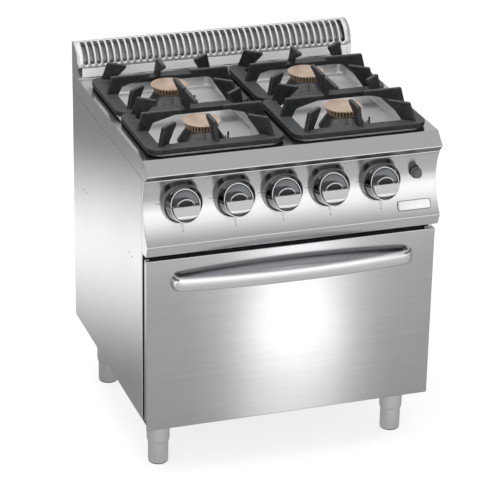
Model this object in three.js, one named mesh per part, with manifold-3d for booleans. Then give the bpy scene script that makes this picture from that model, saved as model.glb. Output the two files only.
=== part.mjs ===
// Commercial gas range: four open burners on a stainless worktop, a concave control panel,
// and a gas oven with a drop-down door. Millimetres, +Z up, front facing -Y.
// The origin is on the floor, under the middle of the overall box.

import * as THREE from 'three';
import { mergeVertices } from 'three/addons/utils/BufferGeometryUtils.js';
import Module from 'manifold-3d';

const wasm = await Module();
wasm.setup();

// ---------------------------------------------------------------- driving dimensions

const WIDTH = 800;
const HALF = WIDTH / 2;
const REAR = 383;
const DOOR_FACE = -332;
const CASE_FRONT = -301;
const LIP_FRONT = -347;
const WORKTOP_Z = 900;
const SKIRT_Z = 850;
const FLUE_TOP = 992;
const UPSTAND_Y = 323;
const UPSTAND_TOP = 930;
const CASE_BOTTOM = 168;

const SHEET = 1.5;
const GAP = 0.3;
const ROUND = 16;

const BURNER_X = 195;
const FRONT_BURNER_Y = -152;
const REAR_BURNER_Y = 136;
const COOK_POINTS = [
  { place: 'front_left', x: -BURNER_X, y: FRONT_BURNER_Y, outside: -1 },
  { place: 'front_right', x: BURNER_X, y: FRONT_BURNER_Y, outside: -1 },
  { place: 'rear_left', x: -BURNER_X, y: REAR_BURNER_Y, outside: 1 },
  { place: 'rear_right', x: BURNER_X, y: REAR_BURNER_Y, outside: 1 },
];

const WELL = { width: 328, depth: 536, y: -8, bottom: 868, flange: 14, corner: 34 };
const WELL_FLOOR = WELL.bottom + SHEET;
const BURNER_HOLE = 36;
const BURNER_SKIRT = 60;
const WELL_TOP = WORKTOP_Z + GAP + SHEET;

const BURNER_TOP = 911;
const CAP_TOP = 933;
const CAP_R = 52;
const CAP_SIDES = 18;

const GRATE = { width: 368, depth: 287, corner: 32, bottom: 904, top: 918, rim: 38, joint: 19 };
const FINGER_TOP = 968;
const FINGER_THICK = 11;

const KNOB_X = [-299, -158, -29, 100, 241];
const OVEN_KNOB = 2;
const KNOB_Z = 779;
const KNOB_R = 48.5;
const KNOB_FRONT_R = 40;
const KNOB_BACK = -326;
const KNOB_FACE = -366;
const COLLAR = { outer: 51.5, inner: 49.3, front: -331, floor: -318, back: -309 };
const STEM_R = 5;
const KNOB_SIDES = 20;
const IGNITER = { x: 340, z: 790 };

const DOOR = { half: 397, bottom: 146, top: 632, depth: 18 };
const HINGE = { y: -315, z: 160, pin: 4 };
const INNER_DOOR = { half: 385, back: -302, front: -329, bottom: 152, top: 620 };
const PLUG = { half: 255, bottom: 250, top: 560, depth: 12 };

const OVEN = { half: 270, bottom: 235, top: 575, back: 300, mouth: -296, wall: 2 };
const RACK_Z = 400;

const LEG = { x: 335, front: -232, rear: 270, sleeve: 31, bore: 28, foot: 27.5, split: 62, top: 143.7 };
const BASE = { half: 385, front: -285, rear: 375, bottom: 144 };

// ---------------------------------------------------------------- materials

function finish(color, roughness, metalness) {
  return new THREE.MeshStandardMaterial({ color, roughness, metalness });
}

const stainless = finish(0xb9bbbe, 0.35, 0.9);
const darkSteel = finish(0x5c5d60, 0.5, 0.8);
const castIron = finish(0x2a2b2d, 0.65, 0.2);
const burnerIron = finish(0x3b3a3a, 0.6, 0.4);
const copperCap = finish(0xb99a80, 0.5, 0.5);
const brass = finish(0xb08d4a, 0.4, 0.8);
const chrome = finish(0xd0d2d5, 0.12, 1);
const blackRubber = finish(0x141414, 0.8, 0);
const greyPlastic = finish(0x4a4c50, 0.5, 0.1);
const galvanised = finish(0x9a9da0, 0.55, 0.7);

// ---------------------------------------------------------------- solids

// A closed geometry as a solid that can be joined and cut.
function solid(geometry) {
  const bare = geometry.index ? geometry.toNonIndexed() : geometry.clone();
  bare.deleteAttribute('normal');
  bare.deleteAttribute('uv');
  const merged = mergeVertices(bare, 1e-3);
  const corners = merged.index.array;
  const kept = [];
  for (let i = 0; i < corners.length; i += 3) {
    const [a, b, c] = [corners[i], corners[i + 1], corners[i + 2]];
    if (a !== b && b !== c && c !== a) kept.push(a, b, c);
  }
  const vertProperties = new Float32Array(merged.attributes.position.array);
  return new wasm.Manifold(new wasm.Mesh({ numProp: 3, vertProperties, triVerts: new Uint32Array(kept) }));
}

function joined(solids) {
  return solids.reduce((all, next) => all.add(next));
}

function box(x0, x1, y0, y1, z0, z1) {
  const shape = new THREE.BoxGeometry(x1 - x0, y1 - y0, z1 - z0);
  return solid(shape.translate((x0 + x1) / 2, (y0 + y1) / 2, (z0 + z1) / 2));
}

// A cylinder between two places on one axis; centre holds the other two coordinates in X, Y, Z order.
function cylinder(axis, radius, from, to, centre, sides = ROUND) {
  const shape = new THREE.CylinderGeometry(radius, radius, to - from, sides);
  const middle = (from + to) / 2;
  if (axis === 'x') return solid(shape.rotateZ(Math.PI / 2).translate(middle, centre[0], centre[1]));
  if (axis === 'y') return solid(shape.translate(centre[0], middle, centre[1]));
  return solid(shape.rotateX(Math.PI / 2).translate(centre[0], centre[1], middle));
}

// A body turned about a vertical axis from a closed outline of [radius, height] points.
function turned(outline, x, y, sides = ROUND) {
  const points = outline.map(([radius, height]) => new THREE.Vector2(radius, height));
  const open = points[0].x > 0;
  if (open) points.push(points[0].clone());
  const shape = new THREE.LatheGeometry(points, sides).rotateX(Math.PI / 2);
  return solid(facingOut(shape)).translate([x, y, 0]);
}

// The same body turned about an axis along Y: heights become distances along -Y.
function turnedForward(outline, x, z, sides = ROUND) {
  return turned(outline, 0, 0, sides).rotate([90, 0, 0]).translate([x, 0, z]);
}

// Reverses a geometry's triangles if they face inwards.
function facingOut(geometry) {
  const flat = geometry.index ? geometry.toNonIndexed() : geometry;
  const p = flat.attributes.position;
  const [a, b, c] = [new THREE.Vector3(), new THREE.Vector3(), new THREE.Vector3()];
  let volume = 0;
  for (let i = 0; i < p.count; i += 3) {
    a.fromBufferAttribute(p, i);
    b.fromBufferAttribute(p, i + 1);
    c.fromBufferAttribute(p, i + 2);
    volume += a.dot(b.cross(c));
  }
  if (volume >= 0) return flat;
  for (let i = 0; i < p.count; i += 3) {
    b.fromBufferAttribute(p, i + 1);
    c.fromBufferAttribute(p, i + 2);
    p.setXYZ(i + 1, c.x, c.y, c.z);
    p.setXYZ(i + 2, b.x, b.y, b.z);
  }
  return flat;
}

function shapeOf(points) {
  return new THREE.Shape(points.map(([a, b]) => new THREE.Vector2(a, b)));
}

// A rounded rectangle of corner points round a centre.
function roundedRect(cx, cy, width, depth, radius, steps = 4) {
  const points = [];
  const corners = [[1, 1], [-1, 1], [-1, -1], [1, -1]];
  corners.forEach(([sx, sy], quarter) => {
    for (let i = 0; i <= steps; i += 1) {
      const turn = (quarter + i / steps) * Math.PI / 2;
      points.push([
        cx + sx * (width / 2 - radius) + radius * Math.cos(turn),
        cy + sy * (depth / 2 - radius) + radius * Math.sin(turn),
      ]);
    }
  });
  return points;
}

// An outline pushed along one axis. Along x it is drawn in (y, z), along y in (x, z), along z in (x, y).
function prism(axis, outline, from, to, holes = []) {
  const shape = shapeOf(outline);
  holes.forEach((hole) => shape.holes.push(new THREE.Path(shapeOf(hole).getPoints())));
  const body = new THREE.ExtrudeGeometry(shape, { depth: to - from, bevelEnabled: false });
  if (axis === 'x') {
    const along = new THREE.Matrix4().set(0, 0, 1, from, 1, 0, 0, 0, 0, 1, 0, 0, 0, 0, 0, 1);
    return solid(body.applyMatrix4(along));
  }
  if (axis === 'y') return solid(body.rotateX(Math.PI / 2).translate(0, to, 0));
  return solid(body.translate(0, 0, from));
}

// The outline of a folded sheet: a line of folds and its copy set to the left of it by the thickness.
function folded(line, thickness) {
  const inner = line.map((point, i) => {
    const before = line[Math.max(i - 1, 0)];
    const after = line[Math.min(i + 1, line.length - 1)];
    const start = i > 0 ? direction(before, point) : direction(point, after);
    const end = i < line.length - 1 ? direction(point, after) : start;
    const normal = [-(start[1] + end[1]), start[0] + end[0]];
    const size = Math.hypot(...normal);
    const reach = thickness / ((-start[1] * normal[0] + start[0] * normal[1]) / size);
    return [point[0] + normal[0] / size * reach, point[1] + normal[1] / size * reach];
  });
  return [...line, ...inner.reverse()];
}

function direction(from, to) {
  const step = [to[0] - from[0], to[1] - from[1]];
  const size = Math.hypot(...step);
  return [step[0] / size, step[1] / size];
}

// ---------------------------------------------------------------- the assembly

const range = new THREE.Group();
range.name = 'gas_range';

function add(name, body, material) {
  const data = body.getMesh();
  const geometry = new THREE.BufferGeometry();
  geometry.setAttribute('position', new THREE.BufferAttribute(data.vertProperties, 3));
  geometry.setIndex(new THREE.BufferAttribute(data.triVerts, 1));
  const mesh = new THREE.Mesh(geometry, material);
  mesh.name = name;
  range.add(mesh);
}

const MIRROR_X = [-1, 1, 1];

// ---------------------------------------------------------------- casing

// A side panel with its front edge folded inwards and two pairs of small slots.
function sidePanel() {
  const fold = 20;
  const line = [[HALF - fold, CASE_FRONT], [HALF, CASE_FRONT], [HALF, REAR - SHEET - GAP]];
  const slot = { length: 9, height: 3, z: 595 };
  const slotRows = [-195.5, 257.5];
  const spread = 14.5;
  let panel = prism('z', folded(line, SHEET), CASE_BOTTOM + GAP, SKIRT_Z - GAP);
  slotRows.forEach((middle) => {
    [middle - spread, middle + spread].forEach((y) => {
      const cut = box(HALF - fold / 2, HALF + 1, y - slot.length / 2, y + slot.length / 2,
        slot.z, slot.z + slot.height);
      panel = panel.subtract(cut);
    });
  });
  return panel;
}

const rightSide = sidePanel();
add('right_side_panel', rightSide, stainless);
add('left_side_panel', rightSide.scale(MIRROR_X), stainless);

// The back panel: a sheet with forward flanges that closes the case and the flue, with a hole for
// the gas inlet.
const INLET = { x: 345, z: 260, hole: 15, pipe: 10.65, bore: 8, boreDepth: 25 };
const backWidth = HALF - SHEET - 2 * GAP;
const backFlange = 14;
const backLine = [
  [backWidth, REAR - backFlange],
  [backWidth, REAR],
  [-backWidth, REAR],
  [-backWidth, REAR - backFlange],
];
const backPanel = prism('z', folded(backLine, SHEET), CASE_BOTTOM + GAP, FLUE_TOP - 4)
  .subtract(cylinder('y', INLET.hole, REAR - 10, REAR + 1, [INLET.x, INLET.z]));
add('back_panel', backPanel, galvanised);

// The base tray, open at the top, with slots that let combustion air in.
let baseTray = box(-BASE.half, BASE.half, BASE.front, BASE.rear, BASE.bottom, CASE_BOTTOM)
  .subtract(box(-BASE.half + SHEET, BASE.half - SHEET, BASE.front + SHEET, BASE.rear - SHEET,
    BASE.bottom + SHEET, CASE_BOTTOM + 1));
const airSlot = { count: 7, pitch: 60, width: 12, halfLength: 90 };
for (let i = 0; i < airSlot.count; i += 1) {
  const x = (i - (airSlot.count - 1) / 2) * airSlot.pitch;
  baseTray = baseTray.subtract(box(x - airSlot.width / 2, x + airSlot.width / 2,
    -airSlot.halfLength, airSlot.halfLength, BASE.bottom - 1, BASE.bottom + SHEET + 1));
}
add('base_tray', baseTray, galvanised);

// ---------------------------------------------------------------- worktop

const lipLine = [
  [LIP_FRONT + 17, SKIRT_Z + GAP],
  [LIP_FRONT, 867],
  [LIP_FRONT + 35, WORKTOP_Z],
  [UPSTAND_Y + SHEET, WORKTOP_Z],
];
const skirtOutline = [
  [LIP_FRONT + 17, SKIRT_Z + GAP],
  [REAR, SKIRT_Z + GAP],
  [REAR, WORKTOP_Z],
  [LIP_FRONT + 35, WORKTOP_Z],
  [LIP_FRONT, 867],
];
const upstandHalf = HALF - SHEET - GAP;
const upstandFold = 12;
const deck = prism('x', folded([...lipLine].reverse(), SHEET), -HALF, HALF);
const skirt = prism('x', skirtOutline, HALF - SHEET, HALF);
const upstand = box(-upstandHalf, upstandHalf, UPSTAND_Y, UPSTAND_Y + SHEET, WORKTOP_Z - SHEET, UPSTAND_TOP)
  .add(box(-upstandHalf, upstandHalf, UPSTAND_Y, UPSTAND_Y + upstandFold, UPSTAND_TOP - SHEET, UPSTAND_TOP));
const cutOutline = roundedRect(BURNER_X, WELL.y, WELL.width + 2 * GAP, WELL.depth + 2 * GAP, WELL.corner);
const cutOut = prism('z', cutOutline, WORKTOP_Z - 10, WORKTOP_Z + 10);
const worktop = joined([deck, skirt, skirt.scale(MIRROR_X), upstand])
  .subtract(cutOut)
  .subtract(cutOut.scale(MIRROR_X));
add('worktop', worktop, stainless);

// A pressed well that hangs in the worktop's cut-out, with a hole in its floor for each burner.
function spillWell() {
  const outer = roundedRect(BURNER_X, WELL.y, WELL.width, WELL.depth, WELL.corner);
  const inner = roundedRect(BURNER_X, WELL.y, WELL.width - 2 * SHEET, WELL.depth - 2 * SHEET,
    WELL.corner - SHEET);
  const flange = roundedRect(BURNER_X, WELL.y, WELL.width + 2 * WELL.flange, WELL.depth + 2 * WELL.flange,
    WELL.corner);
  let well = prism('z', outer, WELL.bottom, WELL_TOP)
    .add(prism('z', flange, WORKTOP_Z + GAP, WELL_TOP))
    .subtract(prism('z', inner, WELL_FLOOR, WELL_TOP + 1));
  [FRONT_BURNER_Y, REAR_BURNER_Y].forEach((y) => {
    well = well.subtract(cylinder('z', BURNER_HOLE, WELL.bottom - 1, WELL_FLOOR + 1, [BURNER_X, y]));
  });
  return well;
}

const rightWell = spillWell();
add('right_spill_well', rightWell, stainless);
add('left_spill_well', rightWell.scale(MIRROR_X), stainless);

// ---------------------------------------------------------------- flue

// A point of the flue grille's elliptical front, from its foot (0 degrees) to its rear edge (90 degrees).
function fluePoint(degrees, inset) {
  const turn = THREE.MathUtils.degToRad(degrees);
  return [
    REAR - (REAR - UPSTAND_Y - inset) * Math.cos(turn),
    UPSTAND_TOP + GAP + (FLUE_TOP - UPSTAND_TOP - GAP - inset) * Math.sin(turn),
  ];
}

function flueArc(fromDegrees, toDegrees, inset, steps) {
  const points = [];
  for (let i = 0; i <= steps; i += 1) {
    points.push(fluePoint(fromDegrees + (toDegrees - fromDegrees) * i / steps, inset));
  }
  return points;
}

const FLUE_STEPS = 5;
const FLUE_SLOT = { count: 42, pitch: 18.3, width: 13, from: 10, to: 78 };
const flueSection = [...flueArc(0, 90, 0, FLUE_STEPS), ...flueArc(0, 90, SHEET, FLUE_STEPS).reverse()];
const flueSheet = prism('x', flueSection, -HALF, HALF);
const flueEnd = prism('x', [
  ...flueArc(0, 90, 0, FLUE_STEPS),
  [REAR, WORKTOP_Z + GAP],
  [UPSTAND_Y, WORKTOP_Z + GAP],
], HALF - SHEET, HALF);
const slotBand = [
  ...flueArc(FLUE_SLOT.from, FLUE_SLOT.to, -3, FLUE_STEPS - 1),
  ...flueArc(FLUE_SLOT.from, FLUE_SLOT.to, 5, FLUE_STEPS - 1).reverse(),
];
let flueGrille = joined([flueSheet, flueEnd, flueEnd.scale(MIRROR_X)]);
for (let i = 0; i < FLUE_SLOT.count; i += 1) {
  const x = (i - (FLUE_SLOT.count - 1) / 2) * FLUE_SLOT.pitch;
  flueGrille = flueGrille.subtract(prism('x', slotBand, x - FLUE_SLOT.width / 2, x + FLUE_SLOT.width / 2));
}
add('flue_grille', flueGrille, stainless);

// The duct that carries the oven's and burners' fumes up behind the grille, open at both ends.
const DUCT = { half: 384, front: 340, back: 378, bottom: 800, top: 946 };
const flueDuct = box(-DUCT.half, DUCT.half, DUCT.front, DUCT.back, DUCT.bottom, DUCT.top)
  .subtract(box(-DUCT.half + SHEET, DUCT.half - SHEET, DUCT.front + SHEET, DUCT.back - SHEET,
    DUCT.bottom - 1, DUCT.top + 1));
add('flue_duct', flueDuct, galvanised);

// ---------------------------------------------------------------- control panel

// The concave face of the control panel is one arc through its lower fold, its deepest line and its top.
const PANEL = { bottom: [-339, 647], fold: [-352, 678], deep: [-312, 765], top: [-330, SKIRT_Z - GAP] };
const PANEL_STEPS = 7;
const COLLAR_SIDES = 20;

function circleThrough([ax, ay], [bx, by], [cx, cy]) {
  const d = 2 * (ax * (by - cy) + bx * (cy - ay) + cx * (ay - by));
  const [a2, b2, c2] = [ax * ax + ay * ay, bx * bx + by * by, cx * cx + cy * cy];
  const x = (a2 * (by - cy) + b2 * (cy - ay) + c2 * (ay - by)) / d;
  const y = (a2 * (cx - bx) + b2 * (ax - cx) + c2 * (bx - ax)) / d;
  return { x, y, radius: Math.hypot(ax - x, ay - y) };
}

const panelCircle = circleThrough(PANEL.fold, PANEL.deep, PANEL.top);

function panelFace() {
  const start = Math.atan2(PANEL.fold[1] - panelCircle.y, PANEL.fold[0] - panelCircle.x);
  const end = Math.atan2(PANEL.top[1] - panelCircle.y, PANEL.top[0] - panelCircle.x);
  const points = [];
  for (let i = 0; i <= PANEL_STEPS; i += 1) {
    const turn = start + (end - start) * i / PANEL_STEPS;
    points.push([
      panelCircle.x + panelCircle.radius * Math.cos(turn),
      panelCircle.y + panelCircle.radius * Math.sin(turn),
    ]);
  }
  return points;
}

const panelBack = CASE_FRONT - GAP;
const panelFoot = [panelBack, PANEL.bottom[1]];
const panelFlange = [PANEL.top[0] + 14, PANEL.top[1]];
const panelLine = [panelFoot, PANEL.bottom, ...panelFace(), panelFlange];
const panelEnd = [panelFoot, [panelBack, PANEL.top[1]], ...panelFace().reverse(), PANEL.bottom];
const panelSkin = prism('x', folded([...panelLine].reverse(), SHEET), -HALF, HALF);
const endCap = prism('x', panelEnd, HALF - SHEET, HALF);
let controlPanel = joined([panelSkin, endCap, endCap.scale(MIRROR_X)]);
KNOB_X.forEach((x) => {
  const place = [x, KNOB_Z];
  const wallMiddle = (COLLAR.outer + COLLAR.inner) / 2;
  const cup = cylinder('y', COLLAR.outer, COLLAR.front, COLLAR.back, place, COLLAR_SIDES)
    .subtract(cylinder('y', COLLAR.inner, COLLAR.front - 1, COLLAR.floor, place, COLLAR_SIDES))
    .subtract(cylinder('y', COLLAR.inner, COLLAR.floor + SHEET, COLLAR.back + 1, place, COLLAR_SIDES))
    .subtract(cylinder('y', STEM_R + 2, COLLAR.floor - 1, COLLAR.back, place, 12));
  controlPanel = controlPanel
    .subtract(cylinder('y', wallMiddle, COLLAR.front - 30, COLLAR.back + 5, place, COLLAR_SIDES))
    .add(cup);
});
const IGNITER_HOLE = 13.8;
controlPanel = controlPanel.subtract(
  cylinder('y', IGNITER_HOLE, COLLAR.front, COLLAR.front + 30, [IGNITER.x, IGNITER.z]));
add('control_panel', controlPanel, stainless);

// A blank plate laid against the lower, forward-leaning part of the panel.
const BADGE = { x: 333, z: 704, width: 92, height: 27, thick: 2, corner: 6 };
const badgeTurn = Math.asin((BADGE.z - panelCircle.y) / panelCircle.radius);
const badgeReach = panelCircle.radius * Math.cos(Math.asin(BADGE.height / 2 / panelCircle.radius)) - 0.6;
const badgePlate = prism('z', roundedRect(0, 0, BADGE.width, BADGE.height, BADGE.corner),
  -badgeReach, -badgeReach + BADGE.thick)
  .rotate([90, 0, 0])
  .rotate([THREE.MathUtils.radToDeg(badgeTurn), 0, 0])
  .translate([BADGE.x, panelCircle.x, panelCircle.y]);
add('badge_plate', badgePlate, chrome);

// ---------------------------------------------------------------- knobs, stems and valves

// A round knob with a rim, a sunk face and a raised grip across it.
function knob(x) {
  const depth = -KNOB_FACE;
  const rim = 36;
  const outline = [
    [STEM_R + GAP, -KNOB_BACK],
    [KNOB_R, -KNOB_BACK],
    [KNOB_R, -KNOB_BACK + 5],
    [KNOB_FRONT_R, depth - 2],
    [KNOB_FRONT_R - 2, depth],
    [rim, depth],
    [rim - 2, depth - 9],
    [0, depth - 9],
    [0, depth - 14],
    [STEM_R + GAP, depth - 14],
  ];
  const body = turnedForward(outline.reverse(), x, KNOB_Z, KNOB_SIDES);
  const grip = prism('z', roundedRect(0, 0, 2 * rim - 5, 15, 6, 2), depth - 12, depth - 0.5)
    .rotate([90, 0, 0])
    .translate([x, 0, KNOB_Z]);
  return body.add(grip);
}

const STEM = { front: -345, back: -281 };
const VALVE = { nose: -315, face: -296, back: -262, bore: -275, drop: 18, rise: 16 };

function valve(x, halfWidth) {
  return box(x - halfWidth, x + halfWidth, VALVE.face, VALVE.back, KNOB_Z - VALVE.drop, KNOB_Z + VALVE.rise)
    .add(cylinder('y', 9, VALVE.nose, VALVE.face + 1, [x, KNOB_Z], 16))
    .subtract(cylinder('y', STEM_R + GAP, VALVE.nose - 1, VALVE.bore, [x, KNOB_Z], 12));
}

KNOB_X.forEach((x, i) => {
  const isOven = i === OVEN_KNOB;
  add(`knob_${i + 1}`, knob(x), chrome);
  add(`valve_stem_${i + 1}`, cylinder('y', STEM_R, STEM.front, STEM.back, [x, KNOB_Z], 12), brass);
  add(isOven ? 'oven_thermostat_valve' : `gas_tap_${i + 1}`, valve(x, isOven ? 22 : 15), brass);
});

// ---------------------------------------------------------------- igniter

const HOUSING = { front: -324, flange: -316, back: -288, radius: 15, barrel: 13.5, bore: 11.8 };
const BUTTON = { front: -334, back: -298, radius: 11.5 };
const igniterPlace = [IGNITER.x, IGNITER.z];
const housing = cylinder('y', HOUSING.radius, HOUSING.front, HOUSING.flange, igniterPlace)
  .add(cylinder('y', HOUSING.barrel, HOUSING.flange - 1, HOUSING.back, igniterPlace))
  .subtract(cylinder('y', HOUSING.bore, HOUSING.front - 1, HOUSING.back - 2, igniterPlace));
add('igniter_housing', housing, greyPlastic);
add('igniter_button', cylinder('y', BUTTON.radius, BUTTON.front, BUTTON.back, igniterPlace), greyPlastic);

// ---------------------------------------------------------------- gas manifold

// The pipe runs behind the panel under the valves, turns back, and drops to the inlet at the rear.
const MANIFOLD = { y: -279, z: 749.5, left: -330, right: 345, bend: 30 };

function bentPipe(points, bend, radius, sides) {
  const path = new THREE.CurvePath();
  let last = points[0];
  for (let i = 1; i < points.length - 1; i += 1) {
    const arriving = points[i].clone().sub(points[i - 1]).normalize();
    const leaving = points[i + 1].clone().sub(points[i]).normalize();
    const before = points[i].clone().addScaledVector(arriving, -bend);
    const after = points[i].clone().addScaledVector(leaving, bend);
    path.add(new THREE.LineCurve3(last, before));
    path.add(new THREE.QuadraticBezierCurve3(before, points[i], after));
    last = after;
  }
  path.add(new THREE.LineCurve3(last, points[points.length - 1]));
  const ring = [];
  for (let i = 0; i < sides; i += 1) {
    const turn = i / sides * 2 * Math.PI;
    ring.push([radius * Math.cos(turn), radius * Math.sin(turn)]);
  }
  return new THREE.ExtrudeGeometry(shapeOf(ring), { steps: 40, extrudePath: path, bevelEnabled: false });
}

const pipeRoute = [
  new THREE.Vector3(MANIFOLD.left, MANIFOLD.y, MANIFOLD.z),
  new THREE.Vector3(MANIFOLD.right, MANIFOLD.y, MANIFOLD.z),
  new THREE.Vector3(MANIFOLD.right, REAR - 50, MANIFOLD.z),
  new THREE.Vector3(MANIFOLD.right, REAR - 50, INLET.z),
  new THREE.Vector3(MANIFOLD.right, REAR, INLET.z),
];
const manifold = solid(facingOut(bentPipe(pipeRoute, MANIFOLD.bend, INLET.pipe, 8)))
  .subtract(cylinder('y', INLET.bore, REAR - INLET.boreDepth, REAR + 1, [INLET.x, INLET.z], 12));
add('gas_manifold', manifold, galvanised);

// ---------------------------------------------------------------- burners

// The burner's cast skirt stands on the floor of the well, round the hole that its mixing tube goes through.
const burnerOutline = [
  [14, 805],
  [20, 805],
  [20, 848],
  [34, 860],
  [34, WELL_FLOOR + GAP],
  [BURNER_SKIRT, WELL_FLOOR + GAP],
  [66, 876],
  [66, 881],
  [45, 904],
  [42, BURNER_TOP],
  [31, BURNER_TOP],
  [31, 896],
  [14, 884],
];
const capOutline = [
  [0, CAP_TOP - 8],
  [27, CAP_TOP - 8],
  [27, BURNER_TOP - 10],
  [30.5, BURNER_TOP - 10],
  [30.5, BURNER_TOP + GAP],
  [41, BURNER_TOP + GAP],
  [CAP_R - 1, CAP_TOP - 3],
  [CAP_R, CAP_TOP - 1.5],
  [CAP_R - 1, CAP_TOP],
  [0, CAP_TOP],
];
COOK_POINTS.forEach(({ place, x, y }) => {
  add(`burner_body_${place}`, turned(burnerOutline, x, y, CAP_SIDES), burnerIron);
  add(`burner_cap_${place}`, turned(capOutline, x, y, CAP_SIDES), copperCap);
});

// ---------------------------------------------------------------- pan supports

// A plate standing along a direction from the burner's centre, drawn in (radius, height).
function finger(outline, degrees) {
  return prism('y', outline, -FINGER_THICK / 2, FINGER_THICK / 2).rotate([0, 0, degrees]);
}

function fingerOutline({ foot, shoulder, tip, under, inner }) {
  return [
    [inner, GRATE.bottom + 3],
    [foot, GRATE.bottom + 3],
    [shoulder, FINGER_TOP],
    [tip, FINGER_TOP],
    [tip, FINGER_TOP - 9],
    [under, FINGER_TOP - 30],
  ];
}

// One casting: a rim, four long fingers to the burner, and a plate across each corner.
function panSupport(x, y, outside) {
  const rimY = (GRATE.rim - GRATE.joint) / 2;
  const inside = roundedRect(0, -outside * rimY, GRATE.width - 2 * GRATE.rim,
    GRATE.depth - GRATE.rim - GRATE.joint, GRATE.corner / 2, 3);
  const rim = prism('z', roundedRect(0, 0, GRATE.width, GRATE.depth, GRATE.corner), GRATE.bottom, GRATE.top,
    [inside]);
  const side = fingerOutline({ foot: 178, shoulder: 162, tip: 56, under: 132, inner: 148 });
  const outer = fingerOutline({ foot: 138, shoulder: 112, tip: 48, under: 92, inner: 108 });
  const middle = fingerOutline({ foot: 142, shoulder: 138, tip: 48, under: 112, inner: 126 });
  const corner = fingerOutline({ foot: 204, shoulder: 182, tip: 128, under: 146, inner: 172 });
  const facing = outside > 0 ? 90 : -90;
  const pieces = [rim, finger(side, 0), finger(side, 180), finger(outer, facing), finger(middle, -facing)];
  [40, 140, 220, 320].forEach((degrees) => pieces.push(finger(corner, degrees)));
  const pad = { x: GRATE.width / 2 - 44, y: GRATE.depth / 2 - 12, halfX: 15, halfY: 8 };
  [[-1, -1], [1, -1], [-1, 1], [1, 1]].forEach(([sx, sy]) => {
    pieces.push(box(sx * pad.x - pad.halfX, sx * pad.x + pad.halfX, sy * pad.y - pad.halfY,
      sy * pad.y + pad.halfY, WELL_TOP + GAP, GRATE.bottom + 1));
  });
  return joined(pieces).translate([x, y, 0]);
}

COOK_POINTS.forEach(({ place, x, y, outside }) => {
  add(`pan_support_${place}`, panSupport(x, y, outside), castIron);
});

// ---------------------------------------------------------------- oven

const ledge = { reach: 12, height: 4, front: -270, back: 280, levels: [330, RACK_Z, 470] };
const FLOOR_Z = 244;
const MOUTH = { half: 376, bottom: 172, top: 646 };
const HEAT_GAP = { half: 70, front: -200, back: 220 };
let liner = box(-OVEN.half - OVEN.wall, OVEN.half + OVEN.wall, OVEN.mouth, OVEN.back + OVEN.wall,
  OVEN.bottom - OVEN.wall, OVEN.top + OVEN.wall)
  .add(box(-MOUTH.half, MOUTH.half, OVEN.mouth, OVEN.mouth + OVEN.wall, MOUTH.bottom, MOUTH.top))
  .subtract(box(-OVEN.half, OVEN.half, OVEN.mouth - 1, OVEN.back, OVEN.bottom, OVEN.top))
  .subtract(box(-HEAT_GAP.half, HEAT_GAP.half, HEAT_GAP.front, HEAT_GAP.back,
    OVEN.bottom - 5, OVEN.bottom + 5));
[...ledge.levels, FLOOR_Z].forEach((z) => {
  const rail = box(OVEN.half - ledge.reach, OVEN.half + 1, ledge.front, ledge.back, z - ledge.height, z);
  liner = liner.add(rail).add(rail.scale(MIRROR_X));
});
add('oven_liner', liner, darkSteel);

const FLOOR_PLATE = { width: 534, depth: 560, y: 5, top: FLOOR_Z + 4, slotHalf: 6, slotReach: 210 };
const plateOutline = roundedRect(0, FLOOR_PLATE.y, FLOOR_PLATE.width, FLOOR_PLATE.depth, 8, 2);
let floorPlate = prism('z', plateOutline, FLOOR_Z + GAP, FLOOR_PLATE.top);
[-180, -90, 90, 180].forEach((x) => {
  floorPlate = floorPlate.subtract(box(x - FLOOR_PLATE.slotHalf, x + FLOOR_PLATE.slotHalf,
    -FLOOR_PLATE.slotReach, FLOOR_PLATE.slotReach, FLOOR_Z, FLOOR_PLATE.top + 1));
});
add('oven_floor_plate', floorPlate, castIron);

// A rack of square bars across a frame, resting on the middle pair of rails.
const RACK = { width: 534, depth: 530, y: 5, bar: 6, thick: 6, openings: 12 };
const rackPitch = (RACK.width - RACK.bar) / RACK.openings;
const rackOutline = roundedRect(0, RACK.y, RACK.width, RACK.depth, 8, 2);
const rackBottom = RACK_Z + GAP;
let rack = prism('z', rackOutline, rackBottom, rackBottom + RACK.thick);
for (let i = 0; i < RACK.openings; i += 1) {
  const left = -RACK.width / 2 + RACK.bar + i * rackPitch;
  const right = left + rackPitch - RACK.bar;
  [-1, 1].forEach((side) => {
    const near = RACK.y + side * RACK.bar / 2;
    const far = RACK.y + side * (RACK.depth / 2 - RACK.bar);
    rack = rack.subtract(box(left, right, Math.min(near, far), Math.max(near, far),
      rackBottom - 1, rackBottom + RACK.thick + 1));
  });
}
add('oven_rack', rack, chrome);

// The oven burner: two tubes joined by a cross tube, under the opening in the liner's floor.
const burnerTubeZ = 205;
const ovenBurner = joined([
  cylinder('y', 15, -190, 200, [-40, burnerTubeZ], 12),
  cylinder('y', 15, -190, 200, [40, burnerTubeZ], 12),
  cylinder('x', 13, -45, 45, [185, burnerTubeZ], 12),
  cylinder('x', 13, -45, 45, [-175, burnerTubeZ], 12),
]);
add('oven_burner', ovenBurner, darkSteel);

// ---------------------------------------------------------------- door

const doorFlangeHalf = 383;
const doorOuter = box(-DOOR.half, DOOR.half, DOOR_FACE, DOOR_FACE + DOOR.depth, DOOR.bottom, DOOR.top)
  .subtract(box(-DOOR.half + SHEET, DOOR.half - SHEET, DOOR_FACE + SHEET, DOOR_FACE + DOOR.depth + 1,
    DOOR.bottom + SHEET, DOOR.top - SHEET));
const notch = box(doorFlangeHalf, DOOR.half + 1, DOOR_FACE + SHEET, DOOR_FACE + DOOR.depth + 1,
  DOOR.bottom - 1, DOOR.bottom + 30);
add('door_outer_panel', doorOuter.subtract(notch).subtract(notch.scale(MIRROR_X)), stainless);

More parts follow.
